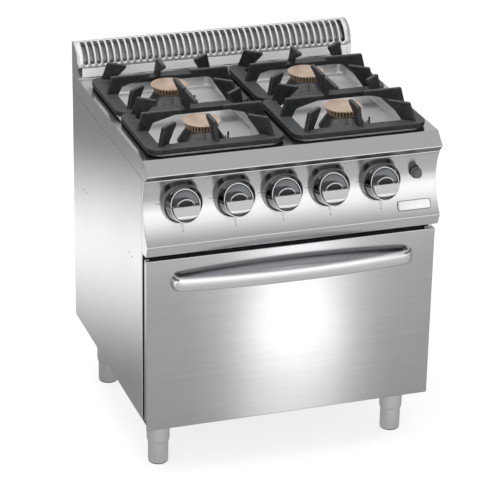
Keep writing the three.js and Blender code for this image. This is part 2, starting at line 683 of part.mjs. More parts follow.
const plugBack = INNER_DOOR.back + PLUG.depth;
let innerDoor = box(-INNER_DOOR.half, INNER_DOOR.half, INNER_DOOR.front, INNER_DOOR.back,
  INNER_DOOR.bottom, INNER_DOOR.top)
  .add(box(-PLUG.half, PLUG.half, INNER_DOOR.back - 2, plugBack, PLUG.bottom, PLUG.top))
  .subtract(box(-INNER_DOOR.half + SHEET, INNER_DOOR.half - SHEET, INNER_DOOR.front - 1,
    INNER_DOOR.back - SHEET, INNER_DOOR.bottom + SHEET, INNER_DOOR.top - SHEET))
  .subtract(box(-PLUG.half + SHEET, PLUG.half - SHEET, INNER_DOOR.front - 1, plugBack - SHEET,
    PLUG.bottom + SHEET, PLUG.top - SHEET))
  .subtract(cylinder('x', HINGE.pin + GAP, -HALF, HALF, [HINGE.y, HINGE.z], 12));
add('door_inner_panel', innerDoor, darkSteel);

const SEAL = { half: 312, bottom: 208, top: 602, width: 16 };
const sealRect = (inset) => [
  [-SEAL.half + inset, SEAL.bottom + inset],
  [SEAL.half - inset, SEAL.bottom + inset],
  [SEAL.half - inset, SEAL.top - inset],
  [-SEAL.half + inset, SEAL.top - inset],
];
add('door_seal', prism('y', sealRect(0), INNER_DOOR.back + GAP, OVEN.mouth - GAP, [sealRect(SEAL.width)]),
  blackRubber);

// The handle: an oval bar that leaves the door square to it, turns, and bows forward to the middle.
const HANDLE = { half: 324, z: 568, high: 19.5, thick: 8, bow: -375, shoulder: -355 };
const handleSection = [];
for (let i = 0; i < 12; i += 1) {
  const turn = i / 12 * 2 * Math.PI;
  handleSection.push([HANDLE.high * Math.cos(turn), HANDLE.thick * Math.sin(turn)]);
}
const handlePoint = (x, y) => new THREE.Vector3(x, y, HANDLE.z);
const handlePath = new THREE.CurvePath();
const handleCorner = 26;
const shoulderX = HANDLE.half - handleCorner;
const bowControlY = 2 * HANDLE.bow - HANDLE.shoulder;
const bowRise = (HANDLE.shoulder - bowControlY) / shoulderX;
handlePath.add(new THREE.CubicBezierCurve3(
  handlePoint(-HANDLE.half, DOOR_FACE - GAP),
  handlePoint(-HANDLE.half, DOOR_FACE - 16),
  handlePoint(-shoulderX - 14, HANDLE.shoulder + 14 * bowRise),
  handlePoint(-shoulderX, HANDLE.shoulder)));
handlePath.add(new THREE.QuadraticBezierCurve3(
  handlePoint(-shoulderX, HANDLE.shoulder),
  handlePoint(0, bowControlY),
  handlePoint(shoulderX, HANDLE.shoulder)));
handlePath.add(new THREE.CubicBezierCurve3(
  handlePoint(shoulderX, HANDLE.shoulder),
  handlePoint(shoulderX + 14, HANDLE.shoulder + 14 * bowRise),
  handlePoint(HANDLE.half, DOOR_FACE - 16),
  handlePoint(HANDLE.half, DOOR_FACE - GAP)));
const handle = new THREE.ExtrudeGeometry(shapeOf(handleSection),
  { steps: 40, extrudePath: handlePath, bevelEnabled: false });
add('door_handle', solid(facingOut(handle)), stainless);

// A hinge bracket beside the door's inner panel, with the pin on which the door turns.
function doorHinge() {
  return box(387, 391, HINGE.y - 6, HINGE.y + 55, HINGE.z - 8, HINGE.z + 6)
    .add(cylinder('x', HINGE.pin, 374, 388, [HINGE.y, HINGE.z], 12));
}

const rightHinge = doorHinge();
add('door_hinge_right', rightHinge, darkSteel);
add('door_hinge_left', rightHinge.scale(MIRROR_X), darkSteel);

// ---------------------------------------------------------------- legs

const sleeveOutline = [
  [0, LEG.top - 10],
  [LEG.bore, LEG.top - 10],
  [LEG.bore, LEG.split],
  [LEG.sleeve, LEG.split],
  [LEG.sleeve, LEG.top - 4],
  [LEG.sleeve + 5, LEG.top - 3],
  [LEG.sleeve + 5, LEG.top],
  [0, LEG.top],
];
const footOutline = [
  [0, 0],
  [LEG.foot - 2, 0],
  [LEG.foot, 2],
  [LEG.foot, 122],
  [0, 122],
];
COOK_POINTS.forEach(({ place, x, outside }) => {
  const legX = Math.sign(x) * LEG.x;
  const legY = outside < 0 ? LEG.front : LEG.rear;
  add(`leg_sleeve_${place}`, turned(sleeveOutline, legX, legY), stainless);
  add(`adjustable_foot_${place}`, turned(footOutline, legX, legY), stainless);
});

export default range;
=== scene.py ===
import math

import bmesh
import bpy
from mathutils import Matrix, Vector


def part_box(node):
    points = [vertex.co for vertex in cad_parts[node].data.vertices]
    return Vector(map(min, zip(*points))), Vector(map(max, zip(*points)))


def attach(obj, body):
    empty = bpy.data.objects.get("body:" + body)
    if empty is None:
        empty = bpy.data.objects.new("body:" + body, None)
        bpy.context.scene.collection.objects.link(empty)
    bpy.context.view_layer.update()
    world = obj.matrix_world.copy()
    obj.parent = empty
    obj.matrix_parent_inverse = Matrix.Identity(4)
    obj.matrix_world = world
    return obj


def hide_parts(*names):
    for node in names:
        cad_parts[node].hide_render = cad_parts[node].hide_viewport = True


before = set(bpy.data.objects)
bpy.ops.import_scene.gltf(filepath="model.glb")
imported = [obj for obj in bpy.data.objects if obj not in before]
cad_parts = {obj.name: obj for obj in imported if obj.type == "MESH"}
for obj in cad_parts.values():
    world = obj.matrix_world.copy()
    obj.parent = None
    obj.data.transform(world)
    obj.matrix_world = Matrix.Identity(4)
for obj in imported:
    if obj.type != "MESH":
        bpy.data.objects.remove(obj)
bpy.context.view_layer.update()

# ---------------------------------------------------------------- sizes, in metres, taken from the frame

MM = 0.001
PLACES = ("front_left", "front_right", "rear_left", "rear_right")
KNOBS = range(1, 6)
SHEET = 1.5 * MM

WORKTOP_LOW, WORKTOP_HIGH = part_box("worktop")
PANEL_LOW, PANEL_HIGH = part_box("control_panel")
SIDE_LOW, SIDE_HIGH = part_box("right_side_panel")
FLUE_LOW, FLUE_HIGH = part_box("flue_grille")
DOOR_LOW, DOOR_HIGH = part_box("door_outer_panel")
HALF = WORKTOP_HIGH.x
DECK_Z = FLUE_LOW.z - 0.3 * MM
UPSTAND_Y = FLUE_LOW.y
REAR = FLUE_HIGH.y


def middle(node):
    low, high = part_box(node)
    return (low + high) / 2


# ---------------------------------------------------------------- outlines

def fillet(points, radii, steps=6):
    """A line of points with each inner corner rounded; radii is one radius or one for each inner corner."""
    if not hasattr(radii, "__len__"):
        radii = [radii] * (len(points) - 2)
    line = [Vector(points[0])]
    for i in range(1, len(points) - 1):
        corner = Vector(points[i])
        back = (Vector(points[i - 1]) - corner).normalized()
        ahead = (Vector(points[i + 1]) - corner).normalized()
        radius = radii[i - 1]
        if radius <= 0:
            line.append(corner)
            continue
        half = back.angle(ahead) / 2
        reach = radius / math.tan(half)
        centre = corner + (back + ahead).normalized() * (radius / math.sin(half))
        start = corner + back * reach - centre
        end = corner + ahead * reach - centre
        sweep = start.angle_signed(end)
        for k in range(steps + 1):
            turned = start.copy()
            turned.rotate(Matrix.Rotation(-sweep * k / steps, 2))
            line.append(centre + turned)
    line.append(Vector(points[-1]))
    return line


def thicken(line, thickness):
    """The closed outline of a folded sheet: the line, and its copy set to the left by the thickness."""
    inner = []
    for i, point in enumerate(line):
        before = line[max(i - 1, 0)]
        after = line[min(i + 1, len(line) - 1)]
        start = (point - before).normalized() if i else (after - point).normalized()
        end = (after - point).normalized() if i < len(line) - 1 else start
        normal = Vector((-(start.y + end.y), start.x + end.x)).normalized()
        reach = thickness / max(normal.dot(Vector((-start.y, start.x))), 0.2)
        inner.append(point + normal * reach)
    return list(line) + inner[::-1]


def arc(centre, radius, start, end, steps):
    return [
        Vector((centre[0] + radius * math.cos(a), centre[1] + radius * math.sin(a)))
        for a in (start + (end - start) * i / steps for i in range(steps + 1))
    ]


def rounded_rect(centre, width, depth, radius, steps=8):
    corners = ((1, 1), (-1, 1), (-1, -1), (1, -1))
    points = []
    for quarter, (sx, sy) in enumerate(corners):
        corner = (centre[0] + sx * (width / 2 - radius), centre[1] + sy * (depth / 2 - radius))
        points += arc(corner, radius, quarter * math.pi / 2, (quarter + 1) * math.pi / 2, steps)
    return points


# ---------------------------------------------------------------- meshes

def place(axis, along, a, b):
    if axis == "x":
        return Vector((along, a, b))
    if axis == "y":
        return Vector((a, along, b))
    return Vector((a, b, along))


def prism(outline, axis, start, end):
    """A closed outline pushed along one axis: (y, z) along x, (x, z) along y, (x, y) along z."""
    bm = bmesh.new()
    rings = [[bm.verts.new(place(axis, along, p[0], p[1])) for p in outline] for along in (start, end)]
    count = len(outline)
    for i in range(count):
        j = (i + 1) % count
        bm.faces.new((rings[0][i], rings[0][j], rings[1][j], rings[1][i]))
    bm.faces.new(rings[0])
    bm.faces.new(rings[1])
    bmesh.ops.recalc_face_normals(bm, faces=bm.faces)
    return bm


def lathe(outline, sides=72, ripple=None):
    """A body turned about Z from [radius, height] points.

    They start and end on the axis, or close on themselves.
    """
    bm = bmesh.new()
    rings = []
    for index, (radius, height) in enumerate(outline):
        if radius < 1e-7:
            rings.append([bm.verts.new((0, 0, height))] * sides)
            continue
        ring = []
        for i in range(sides):
            turn = i / sides * math.tau
            r = radius if ripple is None else radius + ripple(index, i)
            ring.append(bm.verts.new((r * math.cos(turn), r * math.sin(turn), height)))
        rings.append(ring)
    pairs = list(zip(rings, rings[1:]))
    if outline[0][0] > 1e-7:
        pairs.append((rings[-1], rings[0]))
    for lower, upper in pairs:
        for i in range(sides):
            j = (i + 1) % sides
            corners = []
            for vert in (lower[i], lower[j], upper[j], upper[i]):
                if vert not in corners:
                    corners.append(vert)
            if len(corners) > 2:
                bm.faces.new(corners)
    bmesh.ops.recalc_face_normals(bm, faces=bm.faces)
    return bm


def sweep(path, section, up=Vector((0, 0, 1))):
    """A closed section, as (sideways, upwards) points, carried along a level path, with flat ends."""
    bm = bmesh.new()
    rings = []
    for i, point in enumerate(path):
        ahead = (path[min(i + 1, len(path) - 1)] - path[max(i - 1, 0)]).normalized()
        across = ahead.cross(up).normalized()
        rings.append([bm.verts.new(point + across * a + up * b) for a, b in section])
    for lower, upper in zip(rings, rings[1:]):
        for i in range(len(section)):
            j = (i + 1) % len(section)
            bm.faces.new((lower[i], lower[j], upper[j], upper[i]))
    bm.faces.new(rings[0])
    bm.faces.new(rings[-1])
    bmesh.ops.recalc_face_normals(bm, faces=bm.faces)
    return bm


def block(low, high):
    bm = bmesh.new()
    bmesh.ops.create_cube(bm, size=1)
    low, high = Vector(low), Vector(high)
    for vert in bm.verts:
        vert.co = Vector([low[k] + (vert.co[k] + 0.5) * (high[k] - low[k]) for k in range(3)])
    return bm


def merge(*parts):
    """Several meshes as one."""
    whole = bmesh.new()
    for part in parts:
        mesh = bpy.data.meshes.new("part")
        part.to_mesh(mesh)
        part.free()
        whole.from_mesh(mesh)
        bpy.data.meshes.remove(mesh)
    return whole


def moved(bm, matrix):
    bmesh.ops.transform(bm, matrix=matrix, verts=bm.verts)
    return bm


def facing_front(bm, x, z):
    """A body turned about Z becomes one about the axis that points out of the front, at that x and z."""
    return moved(bm, Matrix.Translation((x, 0, z)) @ Matrix.Rotation(math.pi / 2, 4, "X"))


# ---------------------------------------------------------------- pieces

def piece(name, bm, material, body, nodes=(), crease=35, bevel=0, bevel_steps=3):
    mesh = bpy.data.meshes.new(name)
    bm.to_mesh(mesh)
    bm.free()
    obj = bpy.data.objects.new(name, mesh)
    bpy.context.scene.collection.objects.link(obj)
    mesh.materials.append(material)
    mesh.shade_smooth()
    mesh.set_sharp_from_angle(angle=math.radians(crease))
    if bevel:
        round_edges(obj, bevel, bevel_steps)
    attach(obj, body)
    if nodes:
        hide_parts(*nodes)
    return obj


def round_edges(obj, width, steps=3):
    rounding = obj.modifiers.new("rounding", "BEVEL")
    rounding.width = width
    rounding.segments = steps
    rounding.limit_method = "ANGLE"
    rounding.angle_limit = math.radians(35)
    rounding.harden_normals = True


def keep_flat(obj):
    """Makes the flat faces of a folded sheet shade flat, with the turn of the light left to its folds."""
    even = obj.modifiers.new("even", "WEIGHTED_NORMAL")
    even.keep_sharp = True
    even.weight = 100


def cut(obj, *cutters):
    """Cuts the cutters' shapes out of a piece, and keeps the result as its mesh."""
    helpers = []
    for shape in cutters:
        mesh = bpy.data.meshes.new("cutter")
        shape.to_mesh(mesh)
        shape.free()
        helper = bpy.data.objects.new("cutter", mesh)
        bpy.context.scene.collection.objects.link(helper)
        helpers.append(helper)
        difference = obj.modifiers.new("cut", "BOOLEAN")
        difference.operation = "DIFFERENCE"
        difference.solver = "EXACT"
        difference.object = helper
    bpy.context.view_layer.update()
    made = bpy.data.meshes.new_from_object(obj.evaluated_get(bpy.context.evaluated_depsgraph_get()))
    obj.modifiers.clear()
    made.name = obj.name
    obj.data = made
    for helper in helpers:
        bpy.data.objects.remove(helper)
    return obj


# ---------------------------------------------------------------- materials

class Paint:
    """A material under construction: short ways to add nodes and join them."""

    def __init__(self, name):
        self.material = bpy.data.materials.new(name)
        self.material.use_nodes = True
        self.tree = self.material.node_tree
        self.shader = self.tree.nodes["Principled BSDF"]

    def add(self, kind, **values):
        node = self.tree.nodes.new(kind)
        for key, value in values.items():
            setattr(node, key, value)
        return node

    def join(self, out, into):
        self.tree.links.new(out, into)

    def coordinates(self, stretch=(1, 1, 1)):
        source = self.add("ShaderNodeTexCoord")
        scaled = self.add("ShaderNodeMapping")
        scaled.inputs["Scale"].default_value = stretch
        self.join(source.outputs["Object"], scaled.inputs["Vector"])
        return scaled.outputs["Vector"]

    def noise(self, scale, stretch=(1, 1, 1), detail=3, roughness=0.5):
        texture = self.add("ShaderNodeTexNoise")
        texture.inputs["Scale"].default_value = scale
        texture.inputs["Detail"].default_value = detail
        texture.inputs["Roughness"].default_value = roughness
        self.join(self.coordinates(stretch), texture.inputs["Vector"])
        return texture.outputs["Fac"]

    def ranged(self, value, low, high, start=0.3, end=0.7):
        """A 0 to 1 value spread over low to high."""
        node = self.add("ShaderNodeMapRange")
        node.inputs["From Min"].default_value = start
        node.inputs["From Max"].default_value = end
        node.inputs["To Min"].default_value = low
        node.inputs["To Max"].default_value = high
        self.join(value, node.inputs["Value"])
        return node.outputs["Result"]

    def blend(self, value, dark, light):
        node = self.add("ShaderNodeMix", data_type="RGBA")
        node.inputs["A"].default_value = (*dark, 1)
        node.inputs["B"].default_value = (*light, 1)
        self.join(value, node.inputs["Factor"])
        return node.outputs["Result"]

    def combine(self, first, second, operation="MULTIPLY"):
        node = self.add("ShaderNodeMath", operation=operation)
        self.join(first, node.inputs[0])
        self.join(second, node.inputs[1])
        return node.outputs["Value"]

    def bump(self, value, distance, strength=1.0):
        node = self.add("ShaderNodeBump")
        node.inputs["Distance"].default_value = distance
        node.inputs["Strength"].default_value = strength
        self.join(value, node.inputs["Height"])
        self.join(node.outputs["Normal"], self.shader.inputs["Normal"])

    def set(self, **values):
        for key, value in values.items():
            self.shader.inputs[key.replace("_", " ")].default_value = value


def brushed_steel(name, grain, dark=(0.555, 0.56, 0.57), light=(0.605, 0.61, 0.62), low=0.15, high=0.19,
                  metallic=1.0):
    """Stainless sheet with its grain along one axis, faint cloudy wipe marks and fine scratches."""
    fine = [900, 900, 900]
    fine["xyz".index(grain)] = 7
    coarse = [60, 60, 60]
    coarse["xyz".index(grain)] = 1.5
    paint = Paint(name)
    streak = paint.noise(1, fine, detail=2)
    band = paint.noise(1, coarse, detail=3)
    cloud = paint.noise(5, detail=4)
    tone = paint.combine(paint.ranged(streak, 0.35, 0.65), paint.ranged(band, 0.7, 1.3))
    paint.join(paint.blend(tone, dark, light), paint.shader.inputs["Base Color"])
    rough = paint.combine(paint.ranged(streak, low, high), paint.ranged(cloud, 0.85, 1.2))
    paint.join(rough, paint.shader.inputs["Roughness"])
    paint.set(Metallic=metallic)
    paint.bump(streak, 0.005 * MM, 0.4)
    return paint.material


def chrome(name, tone=(0.72, 0.73, 0.745), low=0.05, high=0.13):
    """Plated metal, with handling marks that dull it in places."""
    paint = Paint(name)
    cloud = paint.noise(60, detail=5)
    fleck = paint.noise(900, detail=2)
    paint.join(paint.ranged(cloud, low, high), paint.shader.inputs["Roughness"])
    darker = tuple(0.86 * c for c in tone)
    paint.join(paint.blend(paint.ranged(fleck, 0.0, 1.0), darker, tone), paint.shader.inputs["Base Color"])
    paint.set(Metallic=1.0)
    paint.bump(cloud, 0.03 * MM, 0.3)
    return paint.material


def cast_metal(name, dark, light, grain=900, depth=0.12 * MM, low=0.42, high=0.62, metallic=0.0, gloss=0.5,
               painted_top_light=0.0):
    """Sand-cast metal: a fine pebbled skin, soft lumps, a painted highlight on the edges, and painted light
    on upward faces.
    """
    paint = Paint(name)
    pebble = paint.noise(grain, detail=4, roughness=0.6)
    lump = paint.noise(grain / 12, detail=3)
    geometry = paint.add("ShaderNodeNewGeometry")
    # Painted highlight: edges, found by their pointiness, are made lighter in the colour.
    edge = paint.ranged(geometry.outputs["Pointiness"], 0.0, 0.55, 0.5, 0.58)
    tone = paint.combine(paint.ranged(lump, 0.0, 0.3 if painted_top_light else 0.6), edge, "ADD")
    # Painted top light: faces that point upwards are made lighter in the colour.
    if painted_top_light:
        facing = paint.add("ShaderNodeSeparateXYZ")
        paint.join(geometry.outputs["Normal"], facing.inputs["Vector"])
        tone = paint.combine(tone, paint.ranged(facing.outputs["Z"], 0.0, painted_top_light, 0.45, 0.95), "ADD")
    paint.join(paint.blend(tone, dark, light), paint.shader.inputs["Base Color"])
    paint.join(paint.ranged(pebble, low, high), paint.shader.inputs["Roughness"])
    paint.bump(paint.combine(pebble, paint.ranged(lump, 0.4, 1.4), "ADD"), depth, 0.6)
    paint.set(Metallic=metallic, Specular_IOR_Level=gloss)
    return paint.material


def turned_metal(name, dark, light, low=0.35, high=0.5, metallic=0.8):
    """Machined metal with fine flecks and heat-tinted patches."""
    paint = Paint(name)
    cloud = paint.noise(28, detail=5)
    fleck = paint.noise(700, detail=3)
    tone = paint.combine(paint.ranged(cloud, 0.1, 0.9), paint.ranged(fleck, 0.8, 1.1))
    paint.join(paint.blend(tone, dark, light), paint.shader.inputs["Base Color"])
    paint.join(paint.ranged(fleck, low, high), paint.shader.inputs["Roughness"])
    paint.bump(fleck, 0.05 * MM, 0.4)
    paint.set(Metallic=metallic)
    return paint.material


def moulded(name, dark, light, low=0.4, high=0.55):
    """Moulded plastic or rubber with a fine spark-eroded texture."""
    paint = Paint(name)
    spark = paint.noise(2200, detail=2)
    cloud = paint.noise(90, detail=3)
    paint.join(paint.blend(paint.ranged(cloud, 0.0, 1.0), dark, light), paint.shader.inputs["Base Color"])
    paint.join(paint.ranged(spark, low, high), paint.shader.inputs["Roughness"])
    paint.bump(spark, 0.03 * MM, 0.5)
    return paint.material


def enamel(name, dark, light):
    """Baked enamel with tiny pale specks and an uneven, glossy skin."""
    paint = Paint(name)
    speck = paint.noise(1600, detail=2)
    skin = paint.noise(45, detail=3)
    shade = paint.blend(paint.ranged(speck, 0.0, 1.0, 0.62, 0.7), dark, light)
    paint.join(shade, paint.shader.inputs["Base Color"])
    paint.join(paint.ranged(skin, 0.22, 0.4), paint.shader.inputs["Roughness"])
    paint.bump(skin, 0.15 * MM, 0.3)
    return paint.material


def spangled_zinc(name):
    """Galvanised sheet: dull zinc with its crystal spangle."""
    paint = Paint(name)
    spangle = paint.add("ShaderNodeTexVoronoi")
    spangle.inputs["Scale"].default_value = 90
    paint.join(paint.coordinates(), spangle.inputs["Vector"])
    grey = paint.add("ShaderNodeRGBToBW")
    paint.join(spangle.outputs["Color"], grey.inputs["Color"])
    tone = paint.ranged(grey.outputs["Val"], 0.0, 1.0, 0.2, 0.8)
    paint.join(paint.blend(tone, (0.30, 0.31, 0.32), (0.42, 0.43, 0.44)), paint.shader.inputs["Base Color"])
    paint.join(paint.ranged(grey.outputs["Val"], 0.38, 0.55, 0.2, 0.8), paint.shader.inputs["Roughness"])
    paint.bump(paint.noise(220), 0.04 * MM, 0.3)
    paint.set(Metallic=0.85)
    return paint.material


STEEL_X = brushed_steel("steel_grain_x", "x")
STEEL_Y = brushed_steel("steel_grain_y", "y")
STEEL_Z = brushed_steel("steel_grain_z", "z")
STEEL_POLISHED = brushed_steel("steel_satin", "x", (0.60, 0.605, 0.61), (0.66, 0.665, 0.67), 0.13, 0.17)
STEEL_GRIP = brushed_steel("knob_grip_satin", "x", (0.44, 0.45, 0.46), (0.54, 0.55, 0.56), 0.3, 0.38)
STEEL_DOOR = brushed_steel("door_steel", "x", (0.41, 0.415, 0.425), (0.46, 0.465, 0.475))
# Satin well steel whose lighter, less metallic colour is painted light that makes the wells brighter.
STEEL_WELL_LIT = brushed_steel("well_satin_painted_light", "x", (0.77, 0.77, 0.775), (0.81, 0.81, 0.815), 0.30, 0.36, 0.6)
# Painted light: a nearly white, barely metallic copy of the steel that lights up like paint, for the upstand
# and the knob grips' toes.
STEEL_PAINTED_LIGHT = brushed_steel("steel_painted_light", "x", (0.82, 0.82, 0.825), (0.88, 0.88, 0.885), 0.4, 0.5, 0.15)
STEEL_GRILLE = brushed_steel(
    "flue_grille_steel", "x", (0.70, 0.70, 0.705), (0.76, 0.76, 0.765), 0.35, 0.45, 0.6)
# Painted shade: a darker copy of the steel, for the underside of the worktop lip and the flue baffle behind
# the grille.
STEEL_SHADED = brushed_steel("steel_painted_shade", "x", (0.28, 0.28, 0.285), (0.34, 0.34, 0.345), 0.3, 0.4)
# Painted light: a lighter copy of the steel for the legs, brightening them where they mirror the dark sides
# of the studio.
STEEL_LEG_LIT = brushed_steel("steel_leg_painted_light", "z", (0.72, 0.725, 0.73), (0.80, 0.805, 0.81), 0.22, 0.3)
STEEL_DARK = brushed_steel("steel_heat_darkened", "x", (0.16, 0.155, 0.15), (0.26, 0.25, 0.245), 0.35, 0.5)
CHROME = chrome("knob_chrome", (0.50, 0.51, 0.52), 0.04, 0.09)
# Painted shade: darker copies of the knob chrome for the skirt and the dished face, standing in for the dark
# reflections there.
CHROME_SKIRT_SHADED = chrome("knob_skirt_chrome_painted_shade", (0.26, 0.265, 0.27), 0.03, 0.07)
CHROME_DISH_SHADED = chrome("knob_dish_chrome_painted_shade", (0.12, 0.125, 0.13), 0.02, 0.05)
# Painted shade: the knob collars' near-black plating stands in for the dark shade round each knob; the badge
# rim takes the same dark metal as its own colour.
COLLAR_SHADE_AND_DARK_RIM = chrome("collar_painted_shade_and_dark_rim", (0.13, 0.132, 0.135), 0.12, 0.22)
RACK_CHROME = chrome("rack_chrome", (0.5, 0.5, 0.5), 0.15, 0.3)
# The pan supports get painted top light on their upward faces and a painted highlight on their edges.
IRON = cast_metal(
    "pan_support_iron", (0.007, 0.0073, 0.0076), (0.052, 0.054, 0.057), gloss=0.25, painted_top_light=0.7)
BURNER_IRON = cast_metal(
    "burner_iron", (0.10, 0.10, 0.102), (0.17, 0.17, 0.172), 1200, 0.05 * MM, 0.26, 0.34, 0.95)
CAP_BRASS = turned_metal("burner_cap_top", (0.42, 0.31, 0.235), (0.55, 0.43, 0.34), metallic=0.5)
PORT_BRASS = turned_metal("burner_cap_ports", (0.30, 0.20, 0.125), (0.52, 0.39, 0.27), metallic=0.6)
# Painted shade: near-black for the walls and bottoms of the flame-port slots, standing in for the shade
# inside them.
PORT_SLOT_SHADE = turned_metal("burner_port_painted_shade", (0.018, 0.012, 0.008), (0.05, 0.035, 0.022), metallic=0.2)
VALVE_BRASS = turned_metal("valve_brass", (0.45, 0.32, 0.14), (0.62, 0.47, 0.24))
RUBBER = moulded("seal_rubber", (0.012, 0.012, 0.012), (0.025, 0.025, 0.025), 0.55, 0.75)
GREY_PLASTIC = moulded("igniter_plastic", (0.075, 0.077, 0.082), (0.12, 0.123, 0.13))
# Painted shade: near-black for the knob's scoop, standing in for the shade inside the deep recess.
KNOB_SCOOP_SHADE = moulded("knob_scoop_painted_shade", (0.004, 0.004, 0.005), (0.010, 0.010, 0.011), 0.3, 0.45)
BADGE_WHITE = enamel("badge_enamel", (0.80, 0.80, 0.81), (0.88, 0.88, 0.885))
INK = moulded("marking_ink", (0.09, 0.09, 0.095), (0.13, 0.13, 0.135), 0.4, 0.5)
ENAMEL = enamel("oven_enamel", (0.02, 0.02, 0.024), (0.10, 0.10, 0.12))
ZINC = spangled_zinc("galvanised_zinc")


# ---------------------------------------------------------------- camera, light and floor

CAMERA_PLACE = Vector((-1.884, -5.414, 2.981))
CAMERA_YAW, CAMERA_PITCH, CAMERA_ROLL = (math.radians(a) for a in (19.15, 23.59, 1.09))
CAMERA_LENS = 164.3


def make_camera():
    data = bpy.data.cameras.new("camera")
    data.lens = CAMERA_LENS
    data.sensor_width = 36
    data.clip_end = 100
    camera = bpy.data.objects.new("camera", data)
    bpy.context.scene.collection.objects.link(camera)
    level = Vector((math.cos(CAMERA_YAW), -math.sin(CAMERA_YAW), 0))
    ahead = Vector((math.sin(CAMERA_YAW), math.cos(CAMERA_YAW), 0))
    forward = ahead * math.cos(CAMERA_PITCH) - Vector((0, 0, math.sin(CAMERA_PITCH)))
    upright = ahead * math.sin(CAMERA_PITCH) + Vector((0, 0, math.cos(CAMERA_PITCH)))
    right = level * math.cos(CAMERA_ROLL) + upright * math.sin(CAMERA_ROLL)
    up = upright * math.cos(CAMERA_ROLL) - level * math.sin(CAMERA_ROLL)
    turn = Matrix((right, up, -forward)).transposed().to_4x4()
    camera.matrix_world = Matrix.Translation(CAMERA_PLACE) @ turn
    bpy.context.scene.camera = camera


def area_light(name, place_at, aim, size, power, glossy=True):
    data = bpy.data.lights.new(name, "AREA")
    data.shape = "RECTANGLE"
    data.size, data.size_y = size
    data.energy = power
    light = bpy.data.objects.new(name, data)
    bpy.context.scene.collection.objects.link(light)
    light.location = place_at
    light.rotation_mode = "QUATERNION"
    light.rotation_quaternion = (Vector(place_at) - Vector(aim)).to_track_quat("Z", "Y")
    light.visible_camera = False
    light.visible_glossy = glossy
    return light


def flat_sheet(name, low, high, z):
    mesh = bpy.data.meshes.new(name)
    corners = [(low[0], low[1], z), (high[0], low[1], z), (high[0], high[1], z), (low[0], high[1], z)]
    mesh.from_pydata(corners, [], [(0, 1, 2, 3)])
    obj = bpy.data.objects.new(name, mesh)
    bpy.context.scene.collection.objects.link(obj)
    return obj


def make_floor():
    """A white floor that glows a little, so that only a faint contact shadow shows on it."""
    floor = flat_sheet("floor", (-12, -12), (12, 12), 0)
    paint = Paint("floor")
    cloud = paint.noise(2)
    paint.join(paint.blend(cloud, (0.25, 0.25, 0.25), (0.27, 0.27, 0.27)), paint.shader.inputs["Base Color"])
    paint.set(Roughness=0.9, Emission_Color=(1, 1, 1, 1), Emission_Strength=0.78)
    floor.data.materials.append(paint.material)
    floor.visible_glossy = False


def colour_ramp(tree, stops):
    """A ramp of greys from (position, value) stops."""
    ramp = tree.nodes.new("ShaderNodeValToRGB")
    ramp.color_ramp.elements[0].position = stops[0][0]
    ramp.color_ramp.elements[1].position = stops[-1][0]
    for position, _ in stops[1:-1]:
        ramp.color_ramp.elements.new(position)
    for element, (_, value) in zip(ramp.color_ramp.elements, stops):
        element.color = (value, value, value, 1)
    return ramp


CARD_REACH = 6
CARD_TONES = ((-4.7, 1.65), (-2.0, 1.15), (-1.5, 0.76), (-0.66, 0.68), (-0.2, 0.42), (0.3, 0.32), (6.0, 0.32))
BAND_PLACE, BAND_ALONG, BAND_REACH, BAND_GAIN = (-0.81, 1.12), (0.655, 0.756), 0.84, 1.05


def make_reflection_card():
    """Studio card, seen only in reflections.

    It is grey near the range and white further out, with a bright band at the left.
    """
    card = flat_sheet("reflection_card", (-CARD_REACH, -CARD_REACH), (CARD_REACH, CARD_REACH), -2 * MM)
    paint = Paint("reflection_card")
    tree = paint.tree
    tree.nodes.remove(paint.shader)
    coordinates = paint.add("ShaderNodeTexCoord").outputs["Object"]
    split = paint.add("ShaderNodeSeparateXYZ")
    paint.join(coordinates, split.inputs["Vector"])
    depth = paint.ranged(split.outputs["Y"], 0.0, 1.0, -CARD_REACH, CARD_REACH)
    ramp = colour_ramp(tree, [((y + CARD_REACH) / (2 * CARD_REACH), value) for y, value in CARD_TONES])
    paint.join(depth, ramp.inputs["Fac"])
    mapping = paint.add("ShaderNodeMapping", vector_type="TEXTURE")
    mapping.inputs["Location"].default_value = (*BAND_PLACE, 0)
    mapping.inputs["Rotation"].default_value = (0, 0, math.atan2(BAND_ALONG[1], BAND_ALONG[0]))
    paint.join(coordinates, mapping.inputs["Vector"])
    across = paint.add("ShaderNodeSeparateXYZ")
    paint.join(mapping.outputs["Vector"], across.inputs["Vector"])
    distance = paint.add("ShaderNodeMath", operation="ABSOLUTE")
    paint.join(across.outputs["Y"], distance.inputs[0])
    band = paint.add("ShaderNodeMapRange", interpolation_type="SMOOTHSTEP")
    band.inputs["From Max"].default_value = BAND_REACH
    band.inputs["To Min"].default_value = BAND_GAIN
    band.inputs["To Max"].default_value = 0
    paint.join(distance.outputs["Value"], band.inputs["Value"])
    glow = paint.add("ShaderNodeEmission")
    paint.join(paint.combine(ramp.outputs["Color"], band.outputs["Result"], "ADD"), glow.inputs["Strength"])
    paint.join(glow.outputs["Emission"], tree.nodes["Material Output"].inputs["Surface"])
    card.data.materials.append(paint.material)
    card.visible_camera = False
    card.visible_diffuse = False
    card.visible_shadow = False


FRONT_SKY = ((0.0, 1.7), (0.28, 1.5), (0.5, 1.15), (0.70, 0.82), (0.83, 0.6), (0.94, 0.7), (1.0, 0.7))
REAR_SKY = ((0.0, 0.75), (0.3, 0.67), (0.5, 0.64), (0.8, 0.66), (1.0, 0.7))
SIDE_SKY = ((0.0, 0.5), (0.15, 0.12), (0.55, 0.10), (0.62, 1.5), (0.74, 1.5), (0.80, 0.3), (1.0, 0.6))


